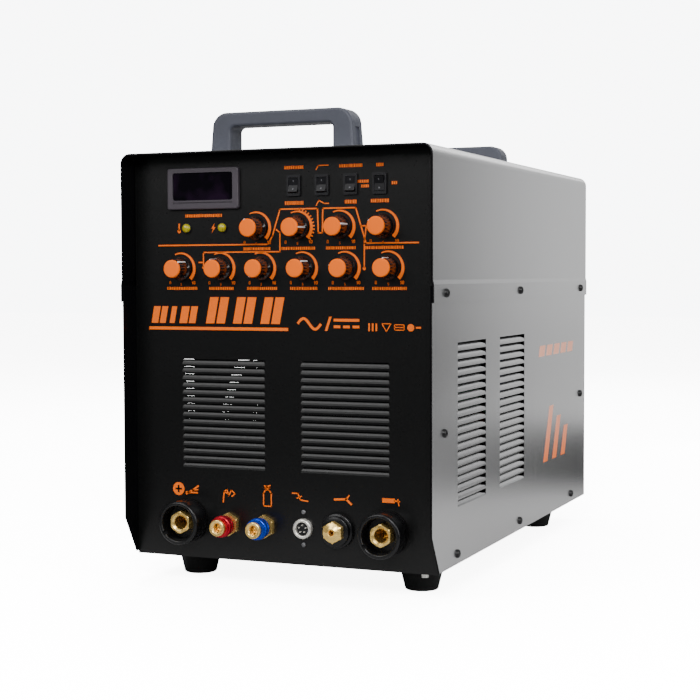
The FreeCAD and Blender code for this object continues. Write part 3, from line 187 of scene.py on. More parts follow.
# ---------------------------------------------------------------- materials
class Nodes:
    """Small helper round one material's node tree."""

    def __init__(self, name):
        self.material = bpy.data.materials.new(name)
        self.material.use_nodes = True
        self.tree = self.material.node_tree
        self.shader = self.tree.nodes["Principled BSDF"]
        self.place = self.tree.nodes.new("ShaderNodeTexCoord").outputs["Object"]

    def add(self, kind, **settings):
        node = self.tree.nodes.new("ShaderNode" + kind)
        for key, value in settings.items():
            setattr(node, key, value)
        return node

    def link(self, out, socket):
        self.tree.links.new(out, socket)

    def set(self, **values):
        """Constants on the shader's own sockets."""
        for key, value in values.items():
            self.shader.inputs[key.replace("_", " ")].default_value = value

    def stretched(self, scale):
        node = self.add("Mapping")
        node.inputs["Scale"].default_value = scale
        self.link(self.place, node.inputs["Vector"])
        return node.outputs["Vector"]

    def noise(self, scale, detail=3.0, vector=None, roughness=0.55):
        node = self.add("TexNoise")
        node.inputs["Scale"].default_value = scale
        node.inputs["Detail"].default_value = detail
        node.inputs["Roughness"].default_value = roughness
        self.link(vector or self.place, node.inputs["Vector"])
        return node.outputs["Fac"]

    def ramp(self, fac, low, high, a, b):
        """Maps fac from low..high to a..b."""
        node = self.add("MapRange")
        for key, value in (("From Min", low), ("From Max", high), ("To Min", a), ("To Max", b)):
            node.inputs[key].default_value = value
        self.link(fac, node.inputs["Value"])
        return node.outputs["Result"]

    def blend(self, fac, a, b):
        """Colour between a and b; either may be a socket or a tuple."""
        node = self.add("Mix", data_type="RGBA")
        self.link(fac, node.inputs["Factor"])
        for socket, value in ((node.inputs[6], a), (node.inputs[7], b)):
            if isinstance(value, tuple):
                socket.default_value = (*value, 1)
            else:
                self.link(value, socket)
        return node.outputs[2]

    def bump(self, height, strength, distance):
        node = self.add("Bump")
        node.inputs["Strength"].default_value = strength
        node.inputs["Distance"].default_value = distance
        self.link(height, node.inputs["Height"])
        self.link(node.outputs["Normal"], self.shader.inputs["Normal"])

    def colour(self, out):
        self.link(out, self.shader.inputs["Base Color"])

    def roughness(self, out):
        self.link(out, self.shader.inputs["Roughness"])


def scaled(colour, factor):
    return tuple(c * factor for c in colour)


def moulded(name, colour, rough=0.45, grain=1800.0, depth=0.05, coat=0.0, mottle=0.12, shine=0.5):
    """Moulded plastic: fine grain, faint colour variation and slightly uneven gloss."""
    m = Nodes(name)
    m.colour(m.blend(m.noise(60.0), scaled(colour, 1 - mottle), scaled(colour, 1 + mottle)))
    m.roughness(m.ramp(m.noise(220.0), 0.3, 0.7, rough * 0.85, min(1, rough * 1.15)))
    m.bump(m.noise(grain, 2.0), depth, 0.0002)
    m.set(Coat_Weight=coat, Coat_Roughness=0.12, Specular_IOR_Level=shine)
    return m.material


def metal(name, colour, rough=0.25, lines=(40, 900, 40), depth=0.03, tarnish=0.15, noise=90.0, bare=1.0):
    """Bare or plated metal with turning or drawing lines and a little tarnish."""
    m = Nodes(name)
    tarnished = scaled(colour, 1 - tarnish)
    m.colour(m.blend(m.ramp(m.noise(noise), 0.35, 0.7, 0, 1), colour, tarnished))
    m.roughness(m.ramp(m.noise(noise * 3), 0.3, 0.7, rough * 0.7, rough * 1.3))
    m.bump(m.noise(1.0, 2.0, m.stretched(lines)), depth, 0.0001)
    m.set(Metallic=bare)
    return m.material


def facing_out(m, sideways):
    """1 on faces that look out of the casing, 0 on cut edges and on faces that look forward, back or into it.
    sideways covers the side sheets."""
    geometry = m.add("NewGeometry")
    normal = m.add("SeparateXYZ")
    m.link(geometry.outputs["True Normal"], normal.inputs["Vector"])
    place = m.add("SeparateXYZ")
    m.link(m.place, place.inputs["Vector"])
    sign = m.add("Math", operation="SIGN")
    m.link(place.outputs["X"], sign.inputs[0])
    side = m.add("Math", operation="MULTIPLY")
    m.link(normal.outputs["X"], side.inputs[0])
    m.link(sign.outputs[0], side.inputs[1])
    total = m.add("Math", operation="ADD")
    m.link(side.outputs[0], total.inputs[0])
    if sideways:
        total.inputs[1].default_value = 0.0
    else:
        m.link(normal.outputs["Z"], total.inputs[1])
    fore = m.add("Math", operation="ABSOLUTE")
    m.link(normal.outputs["Y"], fore.inputs[0])
    less = m.add("Math", operation="MULTIPLY_ADD")
    m.link(fore.outputs[0], less.inputs[0])
    less.inputs[1].default_value = -2.0
    m.link(total.outputs[0], less.inputs[2])
    edge = m.add("Math", operation="GREATER_THAN")
    m.link(less.outputs[0], edge.inputs[0])
    edge.inputs[1].default_value = 0.25
    return edge.outputs[0]


def case_paint(name, sideways):
    """Silver metallic paint outside, black powder coat inside."""
    m = Nodes(name)
    out = facing_out(m, sideways)
    streaks = m.noise(1.0, 4.0, m.stretched((300, 300, 9)))
    cloud = m.noise(4.0, 2.0)
    silver = m.blend(m.ramp(streaks, 0.25, 0.75, 0, 1), (0.53, 0.53, 0.535), (0.57, 0.57, 0.57))
    silver = m.blend(m.ramp(cloud, 0.3, 0.7, 0, 0.3), silver, (0.50, 0.50, 0.505))
    m.colour(m.blend(out, (0.002, 0.002, 0.0026), silver))
    m.link(m.ramp(out, 0, 1, 0.15, 0.5), m.shader.inputs["Specular IOR Level"])
    m.link(m.ramp(out, 0, 1, 0.0, 0.95), m.shader.inputs["Metallic"])
    m.roughness(m.ramp(streaks, 0.2, 0.8, 0.22, 0.27))
    m.bump(m.noise(2200.0, 2.0), 0.06, 0.0001)
    return m.material


def powder_coat(name, colour=(0.003, 0.003, 0.0031)):
    """Black fine-texture powder coat with a trace of dust."""
    m = Nodes(name)
    dust = m.ramp(m.noise(14.0, 5.0), 0.5, 0.8, 0, 0.25)
    m.colour(m.blend(dust, colour, scaled(colour, 2.0)))
    m.roughness(m.ramp(m.noise(500.0), 0.3, 0.7, 0.27, 0.35))
    m.bump(m.noise(1400.0, 3.0), 0.10, 0.0002)
    m.set(Specular_IOR_Level=0.34)
    return m.material


def ink(name, colour):
    """Screen print: slightly mottled, semi matt."""
    m = Nodes(name)
    m.set(Specular_IOR_Level=0.15)
    m.colour(m.blend(m.ramp(m.noise(900.0), 0.3, 0.75, 0, 1), colour, scaled(colour, 0.86)))
    m.roughness(m.ramp(m.noise(400.0), 0.3, 0.7, 0.4, 0.55))
    m.bump(m.noise(2500.0), 0.05, 0.0001)
    return m.material


def side_ink():
    """Print on the side panels: orange at the foot of the flashes, fading to salmon towards their tops."""
    m = Nodes("side_print")
    place = m.add("SeparateXYZ")
    m.link(m.place, place.inputs["Vector"])
    faded = m.blend(m.noise(500.0), (0.93, 0.40, 0.27), (0.97, 0.48, 0.34))
    m.colour(m.blend(m.ramp(place.outputs["Z"], 0.085, 0.150, 0, 1), ORANGE, faded))
    m.roughness(m.ramp(m.noise(400.0), 0.3, 0.7, 0.35, 0.5))
    m.bump(m.noise(2500.0), 0.05, 0.0001)
    m.set(Specular_IOR_Level=0.3)
    return m.material


def rubber_material():
    m = Nodes("foot_rubber")
    m.colour(m.blend(m.noise(70.0), (0.0035, 0.0035, 0.0036), (0.007, 0.007, 0.0075)))
    m.roughness(m.ramp(m.noise(300.0), 0.3, 0.7, 0.5, 0.7))
    m.bump(m.noise(1600.0, 3.0), 0.15, 0.0003)
    m.set(Specular_IOR_Level=0.18)
    return m.material


def lens_material():
    """Dark tinted meter lens, with the unlit digits' housing barely showing through."""
    m = Nodes("meter_lens")
    cloud = m.ramp(m.noise(34.0, 2.0), 0.42, 0.62, 0, 1)
    m.colour(m.blend(cloud, (0.0015, 0.001, 0.0025), (0.010, 0.004, 0.013)))
    m.roughness(m.ramp(m.noise(150.0), 0.3, 0.7, 0.05, 0.1))
    m.bump(m.noise(60.0), 0.02, 0.0005)
    m.set(Specular_IOR_Level=0.14)
    return m.material


def lamp_material():
    m = Nodes("lamp_lens")
    m.colour(m.blend(m.noise(300.0), (0.33, 0.28, 0.004), (0.46, 0.40, 0.012)))
    m.roughness(m.ramp(m.noise(200.0), 0.3, 0.7, 0.12, 0.22))
    m.bump(m.noise(500.0), 0.05, 0.0002)
    m.set(Subsurface_Weight=0.1, Subsurface_Scale=0.003, Coat_Weight=0.4)
    return m.material


def board_material():
    m = Nodes("circuit_board")
    m.colour(m.blend(m.ramp(m.noise(120.0), 0.45, 0.55, 0, 1), (0.01, 0.11, 0.04), (0.02, 0.17, 0.06)))
    m.roughness(m.ramp(m.noise(300.0), 0.3, 0.7, 0.3, 0.45))
    m.bump(m.noise(700.0), 0.1, 0.0003)
    return m.material


M = {
    "cover": case_paint("cover_paint", False),
    "side": case_paint("side_paint", True),
    "black": powder_coat("black_coat"),
    "handle": moulded("handle_plastic", (0.052, 0.056, 0.074), 0.5, 1500, 0.09, 0.0, 0.12, 0.4),
    "rubber": rubber_material(),
    "screw": moulded("black_screw", (0.004, 0.004, 0.0045), 0.33, 1500, 0.03, 0.0, 0.12, 0.35),
    "zinc": metal("zinc_plate", (0.62, 0.62, 0.58), 0.3),
    "bezel": moulded("bezel_plastic", (0.048, 0.040, 0.050), 0.42, 1600, 0.06),
    "lens": lens_material(),
    "lamp": lamp_material(),
    "switch": moulded("switch_plastic", (0.008, 0.008, 0.0095), 0.35, 1500, 0.05, 0.0, 0.12, 0.35),
    "rocker": moulded("rocker_plastic", (0.006, 0.006, 0.0075), 0.34, 1500, 0.04, 0.0, 0.12, 0.25),
    "knob": moulded("knob_plastic", (0.006, 0.006, 0.007), 0.20, 1500, 0.02, 0.5),
    "cap": moulded("cap_plastic", ORANGE, 0.7, 1500, 0.03, 0.0, 0.02, 0.1),
    "socket": moulded("socket_plastic", (0.003, 0.003, 0.0036), 0.30, 1300, 0.03, 0.1, 0.12, 0.3),
    "brass": metal("turned_brass", (1.0, 0.68, 0.21), 0.27, tarnish=0.08, bare=0.85),
    # darker brass for the contacts' bores: painted shade that stands for the dark inside of a bore, not a
    # different metal
    "brass_bore_painted_shade": metal("brass_painted_bore_shade", (0.42, 0.25, 0.06), 0.3, tarnish=0.3, bare=0.8),
    "red": metal("red_anodised", (0.50, 0.006, 0.022), 0.26, bare=0.7),
    "blue": metal("blue_anodised", (0.004, 0.045, 0.50), 0.26, bare=0.7),
    "nickel": metal("nickel_plate", (0.92, 0.89, 0.82), 0.24, bare=0.7),
    "dull": metal("dull_screw", (0.22, 0.22, 0.23), 0.4, bare=0.7),
    "fan": moulded("fan_plastic", (0.016, 0.016, 0.017), 0.45, 1200, 0.08),
    "wire": metal("plated_wire", (0.66, 0.66, 0.66), 0.22),
    "breaker": moulded("breaker_plastic", (0.045, 0.046, 0.05), 0.4, 1500, 0.06),
    "gland": moulded("gland_plastic", (0.02, 0.02, 0.022), 0.42, 1400, 0.07),
    "board": board_material(),
    "aluminium": metal("extruded_aluminium", (0.72, 0.72, 0.73), 0.32, (60, 3, 60)),
    "copper": metal("copper", (0.80, 0.36, 0.2), 0.3),
    "ferrite": moulded("ferrite", (0.035, 0.035, 0.036), 0.6, 900, 0.15),
    "sleeve": moulded("can_sleeve", (0.02, 0.025, 0.06), 0.25, 900, 0.03, 0.3),
    "hose": moulded("hose_rubber", (0.02, 0.02, 0.02), 0.5, 900, 0.08),
    "orange_ink": ink("orange_print", ORANGE),
    "white_ink": ink("white_print", (0.78, 0.78, 0.78)),
    "grey_ink": ink("grey_print", (0.13, 0.13, 0.14)),
    "side_ink": side_ink(),
}

CAD_MATERIALS = {
    "cover": ["top_cover"],
    "side": ["right_side_panel", "left_side_panel"],
    "black": ["front_panel", "rear_panel", "base_pan"],
    "handle": ["front_handle", "rear_handle"],
    "rubber": ["rubber_feet"],
    "screw": ["case_screws"],
    "zinc": ["chassis_bolts", "potentiometers"],
    "bezel": ["display_bezel"],
    "lens": ["display_window"],
    "lamp": ["indicator_lamps"],
    "switch": ["rocker_frames", "control_socket_insert"],
    "rocker": ["rocker_1", "rocker_2", "rocker_3", "rocker_4"],
    "socket": ["positive_socket_body", "negative_socket_body", "torch_socket_base"],
    "brass": ["positive_socket_contact", "negative_socket_contact", "red_coupler_body", "blue_coupler_body",
              "torch_socket_fitting", "gas_inlet"],
    "red": ["red_coupler_sleeve"],
    "blue": ["blue_coupler_sleeve"],
    "nickel": ["control_socket_shell"],
    "fan": ["fan_frame", "fan_rotor"],
    "wire": ["fan_guard"],
    "breaker": ["main_breaker", "breaker_lever"],
    "gland": ["cable_gland"],
    "board": ["control_board", "power_board", "hf_unit"],
    "aluminium": ["heat_sinks"],
    "copper": ["transformer_windings", "output_reactor", "bus_bars"],
    "ferrite": ["transformer_core", "gas_solenoid"],
    "sleeve": ["capacitors"],
    "hose": ["gas_hose"],
    "knob": ["knob_%d" % (i + 1) for i in range(KNOBS)],
}


def paint_cad_nodes():
    for key, names in CAD_MATERIALS.items():
        for name in names:
            for slot in nodes[name].material_slots:
                slot.material = M[key]


# ---------------------------------------------------------------- mesh makers
def piece(name, bm, material, body, smooth=35.0):
    """Turns a bmesh into an object that rides on a body."""
    bmesh.ops.remove_doubles(bm, verts=bm.verts, dist=1e-6)
    bmesh.ops.recalc_face_normals(bm, faces=bm.faces)
    mesh = bpy.data.meshes.new(name)
    bm.to_mesh(mesh)
    bm.free()
    for polygon in mesh.polygons:
        polygon.use_smooth = True
    mesh.set_sharp_from_angle(angle=math.radians(smooth))
    mesh.materials.append(M[material])
    obj = bpy.data.objects.new(name, mesh)
    collection.objects.link(obj)
    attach(obj, body)
    return obj


def flats(across, turn=0.0):
    """Radius of a hexagon as a function of the angle."""
    def radius(angle):
        step = math.radians(60)
        off = (angle - math.radians(turn) + step / 2) % step - step / 2
        return across / 2 / math.cos(off)
    return radius


def least(shape, limit):
    """The shape, cut back to a largest radius."""
    return lambda angle: min(shape(angle), limit)


def at_least(radius, shape):
    """The shape, filled out to a smallest radius."""
    return lambda angle: max(radius, shape(angle))


def fluted(radius, count, depth):
    """Circle with shallow rounded flutes."""
    return lambda angle: radius - depth * (0.5 - 0.5 * math.cos(count * angle)) ** 2


def notched(radius, depth, half_width, at):
    """Circle with a straight key slot cut outwards at one angle."""
    def value(angle):
        off = (angle - math.radians(at) + math.pi) % TAU - math.pi
        return radius + depth if abs(radius * math.sin(off)) < half_width and abs(off) < 1 else radius
    return value


def lathe(bm, x, z, base_y, out, profile, steps=96):
    """Turned shape about an axis along Y. profile lists (radius or function of the angle, reach) in mm, from
    one end of the axis to the other; a radius of 0 closes the end."""
    rings = []
    for radius, reach in profile:
        ring = []
        for i in range(steps):
            angle = TAU * i / steps
            r = (radius(angle) if callable(radius) else radius) * MM
            ring.append(bm.verts.new((x + r * math.cos(angle), base_y + out * reach * MM,
                                      z + r * math.sin(angle))))
        rings.append(ring)
    for a, b in zip(rings, rings[1:]):
        for i in range(steps):
            j = (i + 1) % steps
            bm.faces.new((a[i], a[j], b[j], b[i]))
    return rings


def ring_lathe(bm, x, z, base_y, out, profile, steps=96):
    """As lathe, for a closed section such as a sleeve: the last point joins the first."""
    lathe(bm, x, z, base_y, out, profile + profile[:1], steps)


def prism(bm, outline, y0, y1):
    """Outline of (x, z) in metres, extruded from y0 to y1."""
    low = [bm.verts.new((x, y0, z)) for x, z in outline]
    high = [bm.verts.new((x, y1, z)) for x, z in outline]
    bm.faces.new(low)
    bm.faces.new(high)
    for i in range(len(outline)):
        j = (i + 1) % len(outline)
        bm.faces.new((low[i], low[j], high[j], high[i]))


# ---------------------------------------------------------------- prints
def front_print(bm, name):
    piece(name, bm, "orange_ink", "chassis")


def front_shape(bm, outline):
    """Flat print on the front panel: outline of (x, z) in mm."""
    prism(bm, [(x * MM, z * MM) for x, z in outline], FACE_Y - INK, FACE_Y)


def stroke(points, width):
    """Outline of a line of constant width with mitred corners."""
    sides = ([], [])
    count = len(points)
    for i, (x, z) in enumerate(points):
        before = Vector(points[i]) - Vector(points[i - 1]) if i else None
        after = Vector(points[i + 1]) - Vector(points[i]) if i < count - 1 else None
        a = (before or after).normalized()
        b = (after or before).normalized()
        tangent = (a + b).normalized()
        normal = Vector((-tangent.y, tangent.x))
        reach = width / 2 / max(0.35, normal.dot(Vector((-a.y, a.x))))
        sides[0].append((x + normal.x * reach, z + normal.y * reach))
        sides[1].append((x - normal.x * reach, z - normal.y * reach))
    return sides[0] + sides[1][::-1]


def line(bm, points, width):
    """Line of constant width on the front panel, one overlapping stroke to each stretch."""
    for a, b in zip(points, points[1:]):
        start = Vector(a)
        end = Vector(b)
        push = (end - start).normalized() * width / 2 * 0.9
        front_shape(bm, stroke([tuple(start - push), tuple(end + push)], width))


def disc(x, z, r, count=28):
    return [(x + r * math.cos(TAU * i / count), z + r * math.sin(TAU * i / count)) for i in range(count)]


def arc_band(x, z, outer, inner_start, inner_end, start, end, count=40):
    """Curved band whose inner edge moves from inner_start to inner_end, from one angle to the other."""
    out = []
    back = []
    for i in range(count + 1):
        t = i / count
        a = math.radians(start + (end - start) * t)
        r = inner_start + (inner_end - inner_start) * t
        out.append((x + outer * math.cos(a), z + outer * math.sin(a)))
        back.append((x + r * math.cos(a), z + r * math.sin(a)))
    return out + back[::-1]


def slanted(x, z, width, height, lean):
    return [(x, z), (x + width, z), (x + width + lean, z + height), (x + lean, z + height)]


def label(bm, x, z, width, rng, height=2.6):
    """Row of small blocks that stands for a caption without being lettering."""
    left = x - width / 2
    right = x + width / 2
    while left < right - 0.7:
        block = min(rng.choice((0.8, 1.2, 1.6)), right - left)
        front_shape(bm, slanted(left, z - height / 2, block, height, 0))
        left += block + 0.6


DIGITS = {
    "0": [[(0, 0), (0, 2), (1, 2), (1, 0), (0, 0)]],
    "1": [[(0.2, 1.6), (0.6, 2), (0.6, 0)]],
    "5": [[(1, 2), (0, 2), (0, 1), (1, 1), (1, 0), (0, 0)]],
}


def number(bm, text, x, z, size, width):
    """Dial number, size mm tall, centred on x and z."""
    advance = size * 0.78
    left = x - advance * len(text) / 2 + 0.1 * size
    for i, digit in enumerate(text):
        for path in DIGITS[digit]:
            points = [(left + advance * i + px * size / 2, z + (pz - 1) * size / 2) for px, pz in path]
            line(bm, points, width)


def knob_places():
    places = []
    for i in range(KNOBS):
        pos = joint_of["knob_%d" % (i + 1)]["pos_m"]
        places.append((pos[0] / MM, pos[2] / MM))
    return places


CAPTION_WIDTHS = (29.0, 35.0, 30.0, 38.0, 33.0, 27.0, 32.0, 28.0, 36.0, 34.0)


def dial_prints(rng):
    bm = bmesh.new()
    for i, (x, z) in enumerate(knob_places()):
        front_shape(bm, arc_band(x, z, 15.9, 14.8, 12.3, 116, -44))
        if i == 1:
            for a in range(84, -44, -11):
                front_shape(bm, arc_band(x, z, 17.9, 16.0, 16.0, a, a - 4.5, 3))
        number(bm, "0", x - 12.2, z - 13.6, 2.6, 0.55)
        number(bm, "10", x + 13.6, z - 13.6, 2.6, 0.55)
        number(bm, "5", x, z - 15.0, 1.9, 0.45)
        label(bm, x + 1.0, z - (19.6 if i < 4 else 19.0), CAPTION_WIDTHS[i], rng, 2.8)
    front_print(bm, "dial_prints")


def circuit_line_print():
    """Line that joins the dials, drawn as the course of a weld: up, two humps and down."""
    bm = bmesh.new()
    low = 331.3
    top = 364.3
    line(bm, [(-132.3, low), (-13.9, low), (-9.0, 339.0), (-0.8, top), (38.0, top), (38.7, 341.4),
              (42.9, 341.4), (43.4, top), (76.7, top), (87.0, low), (138.4, low)], 1.35)
    line(bm, [(-4.9, 345.0), (-1.1, 342.4), (-1.1, 324.2), (-83.0, 324.2), (-83.0, 310.5)], 1.2)
    line(bm, [(-88.0, 314.5), (-84.5, 314.5)], 1.2)
    front_shape(bm, disc(-83.0, 309.6, 1.5))
    line(bm, [(81.9, 347.4), (87.3, 347.4), (85.2, 331.0), (85.2, 308.4)], 1.2)
    front_shape(bm, disc(85.2, 307.8, 1.6))
    front_print(bm, "circuit_line_print")


def name_band_print():
    """Generic graphic in the machine's name band: two groups of slanted bars over a long rule, the signs for
    alternating and direct current, and a row of plain shapes."""
    bm = bmesh.new()
    front_shape(bm, slanted(-144.0, 249.0, 151.0, 3.0, 0))
    for x, width in ((-141.4, 7.4), (-132.2, 6.6), (-121.2, 5.6), (-110.3, 8.6), (-99.8, 7.2)):
        front_shape(bm, slanted(x, 255.5, width, 16.5, 3.2))
    for x in (-81.0, -51.7, -22.3):
        front_shape(bm, slanted(x, 255.5, 9.2, 25.5, 5.0))
        front_shape(bm, slanted(x + 11.4, 255.5, 9.2, 25.5, 5.0))
    wave = [(17.0 + 24.0 * t / 24, 256.0 + 5.0 * math.sin(TAU * t / 24)) for t in range(25)]
    front_shape(bm, stroke(wave, 2.6))
    front_shape(bm, slanted(45.0, 249.6, 2.6, 13.4, 4.4))
    front_shape(bm, slanted(54.0, 258.4, 26.0, 2.6, 0))
    for i in range(3):
        front_shape(bm, slanted(54.0 + 9.6 * i, 252.2, 6.8, 2.6, 0))
    for x in (89.0, 92.6, 96.2):
        front_shape(bm, slanted(x, 249.8, 1.6, 7.2, 0))
    line(bm, [(102.5, 256.8), (111.5, 256.8), (107.0, 249.6), (102.5, 256.8)], 0.8)
    line(bm, [(115.0, 251.0), (124.5, 251.0), (124.5, 256.0), (115.0, 256.0), (115.0, 251.0)], 0.8)
    line(bm, [(115.0, 253.5), (124.5, 253.5)], 0.8)
    front_shape(bm, disc(131.0, 253.4, 3.4))
    front_shape(bm, slanted(136.0, 252.6, 5.0, 1.6, 0))
    front_print(bm, "name_band_print")


def switch_prints(rng):
    bm = bmesh.new()
    for i in range(ROCKERS):
        pos = joint_of["rocker_%d" % (i + 1)]["pos_m"]
        x, z = pos[0] / MM, pos[2] / MM
        if i == 1:
            line(bm, [(x - 6, z + 14.5), (x - 4, z + 18), (x + 6, z + 18)], 1.0)
            line(bm, [(x - 6, z - 19), (x - 3.5, z - 14.5), (x + 2, z - 17.5), (x + 6.5, z - 17.5)], 1.0)
        elif i == 3:
            label(bm, x, z + 17, 7.0, rng, 3.0)
            label(bm, x - 16.5, z + 2.2, 12.0, rng, 2.6)
            label(bm, x - 14.5, z - 2.2, 8.0, rng, 2.6)
            label(bm, x + 14.5, z, 5.5, rng, 2.8)
            label(bm, x, z - 16.0, 18.0, rng, 3.2)
        else:
            label(bm, x, z + 17.0, 20.0 + 3.0 * (i == 2), rng, 3.0)
            label(bm, x, z - 16.4, 19.0 - 7.0 * (i == 2), rng, 3.4)
    front_print(bm, "switch_prints")


def lamp_prints(rng):
    bm = bmesh.new()
    lo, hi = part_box("indicator_lamps")
    z = (lo.z + hi.z) / 2 / MM
    left = lo.x / MM
    right = hi.x / MM - 2 * LAMP_RING_R
    x = left - 3.6
    line(bm, [(x, z - 2.0), (x, z + 4.0)], 1.5)
    front_shape(bm, disc(x, z - 2.8, 1.8))
    x = right - 5.0
    front_shape(bm, [(x + 1.2, z + 4.6), (x - 2.2, z - 0.6), (x - 0.2, z - 0.6), (x - 1.6, z - 4.8),
                     (x + 2.4, z + 0.9), (x + 0.3, z + 0.9)])
    label(bm, (left + right) / 2 + 4, z + 12.0, 40.0, rng, 2.8)
    front_print(bm, "lamp_prints")


def socket_prints():
    """Signs over the sockets: plus and clamp, torch hose, gas bottle, pedal, torch and electrode holder."""
    bm = bmesh.new()
    dark = bmesh.new()
    x, z = -112.6, 92.6
    front_shape(bm, disc(x, z, 6.4))
    for half_w, half_h in ((3.6, 0.9), (0.9, 3.6)):
        outline = [((x + u * half_w) * MM, (z + v * half_h) * MM) for u, v in CORNERS]
        prism(dark, outline, FACE_Y - 2 * INK, FACE_Y - 0.5 * INK)
    line(bm, [(-104, 88), (-97, 92), (-91, 96)], 1.6)
    line(bm, [(-104, 89.5), (-92, 89.5)], 1.6)
    line(bm, [(-97, 92), (-91.5, 92.6)], 1.2)
    line(bm, [(-63.5, 82), (-62.5, 92), (-59.5, 94.5), (-57.5, 88.5), (-54.5, 94), (-50.5, 90.5),
              (-54, 88)], 1.2)
    line(bm, [(-62.5, 92), (-58, 90)], 1.0)
    line(bm, [(-20, 80.5), (-20, 93), (-17.8, 96), (-14, 96), (-11.8, 93), (-11.8, 80.5), (-20, 80.5)], 1.1)
    line(bm, [(-19, 100), (-13, 98), (-19, 98.4), (-13, 100.6)], 1.1)
    line(bm, [(-15.9, 96), (-15.9, 99)], 1.4)
    line(bm, [(10.5, 94.5), (16.5, 94.5), (18.5, 88.5), (26.5, 87.5)], 1.2)
    line(bm, [(15.5, 90), (20, 91.8)], 1.1)
    line(bm, [(54.5, 90.8), (66.0, 91.6), (71.0, 87.2)], 2.0)
    line(bm, [(66.0, 91.6), (69.0, 95)], 1.3)
    front_shape(bm, slanted(102.5, 90.5, 12.5, 4.2, 0))
    line(bm, [(115, 92.6), (119.5, 92.2)], 1.3)
    line(bm, [(118.0, 94.2), (119.0, 88.5)], 1.1)
    front_print(bm, "socket_prints")
    piece("socket_sign_plus", dark, "black", "chassis")


def side_print(side):
    """Generic flashes on a side panel: three tall slanted bars, and a row of five short ones above them."""
    bm = bmesh.new()
    x0 = side * SIDE_X
    x1 = side * (SIDE_X + INK)

    def shape(outline):
        low = [bm.verts.new((x0, y * MM, z * MM)) for y, z in outline]
        high = [bm.verts.new((x1, y * MM, z * MM)) for y, z in outline]
        bm.faces.new(low)
        bm.faces.new(high)
        for i in range(len(outline)):
            j = (i + 1) % len(outline)
            bm.faces.new((low[i], low[j], high[j], high[i]))

    for i in range(3):
        height = 62.0 - 14.0 * i
        shape(slanted(92.0 + 38.0 * i, 90.0, 17.0, height, height * 0.42))
    for i in range(5):
        shape(slanted(72.0 + 31.0 * i, 210.0, 23.0, 12.0, 5.0))
    name = "right_side_print" if side > 0 else "left_side_print"
    piece(name, bm, "side_ink", "chassis")


# ---------------------------------------------------------------- turned pieces
def axis_of(node):
    """x and z in metres of a node that is turned about an axis along Y."""
    lo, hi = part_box(node)
    return (lo.x + hi.x) / 2, (lo.z + hi.z) / 2


KNOB_POINTERS = (119.5, 0.0, 15.0, 146.0, 45.0, 106.0, 240.0, 45.0, 164.0, 82.0)   # degrees from +X at rest


def make_knob(index):
    node = "knob_%d" % (index + 1)
    joint = joint_of[node]
    x, _, z = joint["pos_m"]
    pointer = math.radians(KNOB_POINTERS[index])
    body = bmesh.new()
    grip = fluted(9.3, 18, 0.55)
    lathe(body, x, z, FACE_Y, -1, [
        (3.0, 5.0), (7.6, 5.0), (7.6, 1.0), (10.6, 0.8), (11.2, 0.9), (11.4, 1.3), (11.4, 2.0), (11.2, 2.5),
        (10.6, 3.2), (10.1, 3.9), (fluted(9.6, 18, 0.4), 4.9), (grip, 7.0), (fluted(9.2, 18, 0.55), 16.6),
        (fluted(9.05, 18, 0.35), 17.4), (8.9, 17.8), (8.62, 17.8), (8.62, 16.0), (3.0, 16.0),
    ], 144)
    made = piece(node + "_body", body, "knob", node, 28.0)
    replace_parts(made, node)
    cap = bmesh.new()
    lathe(cap, x, z, FACE_Y, -1, [(0, 16.2), (8.58, 16.2), (8.58, 18.9), (8.45, 19.35), (8.1, 19.75),
                                  (7.5, 19.95), (6.6, 20.0), (0, 20.0)], 72)
    made = piece(node + "_cap", cap, "cap", node, 60.0)
    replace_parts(made, node)
    line_mesh = bmesh.new()
    centre = Vector((x, FACE_Y, z))
    verts = []
    for radius, reach, half in ((8.4, 4.4, 0.75), (9.85, 4.4, 0.75), (9.62, 7.0, 0.72), (9.55, 17.0, 0.7),
                                (9.2, 18.0, 0.7), (8.55, 18.0, 0.7)):
        for side in (-half, half):
            verts.append(line_mesh.verts.new(centre + Vector((
                (radius * math.cos(pointer) - side * math.sin(pointer)) * MM, -reach * MM,
                (radius * math.sin(pointer) + side * math.cos(pointer)) * MM))))
    count = len(verts) // 2
    for i in range(count):
        j = (i + 1) % count
        line_mesh.faces.new((verts[2 * i], verts[2 * i + 1], verts[2 * j + 1], verts[2 * j]))
    line_mesh.faces.new(verts[0::2])
    line_mesh.faces.new(verts[1::2])
    made = piece(node + "_pointer", line_mesh, "white_ink", node)
    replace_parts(made, node)


def make_lamps():
    lo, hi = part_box("indicator_lamps")
    z = (lo.z + hi.z) / 2
    bm = bmesh.new()
    ring = bmesh.new()
    for x in (lo.x + LAMP_RING_R * MM, hi.x - LAMP_RING_R * MM):
        lathe(bm, x, z, FACE_Y, -1, [(0, -8.0), (3.9, -8.0), (3.9, 0.0), (4.3, 0.0), (4.3, 1.6),
                                     (4.05, 2.5), (3.4, 3.4), (2.4, 4.0), (1.2, 4.3), (0, 4.38)], 40)
        ring_lathe(ring, x, z, FACE_Y, -1, [(4.35, 0), (LAMP_RING_R, 0), (LAMP_RING_R, 0.9), (4.7, 1.3),
                                            (4.35, 1.3)], 40)
    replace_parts(piece("lamp_lenses", bm, "lamp", "chassis", 60), "indicator_lamps")
    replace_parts(piece("lamp_rings", ring, "switch", "chassis", 40), "indicator_lamps")


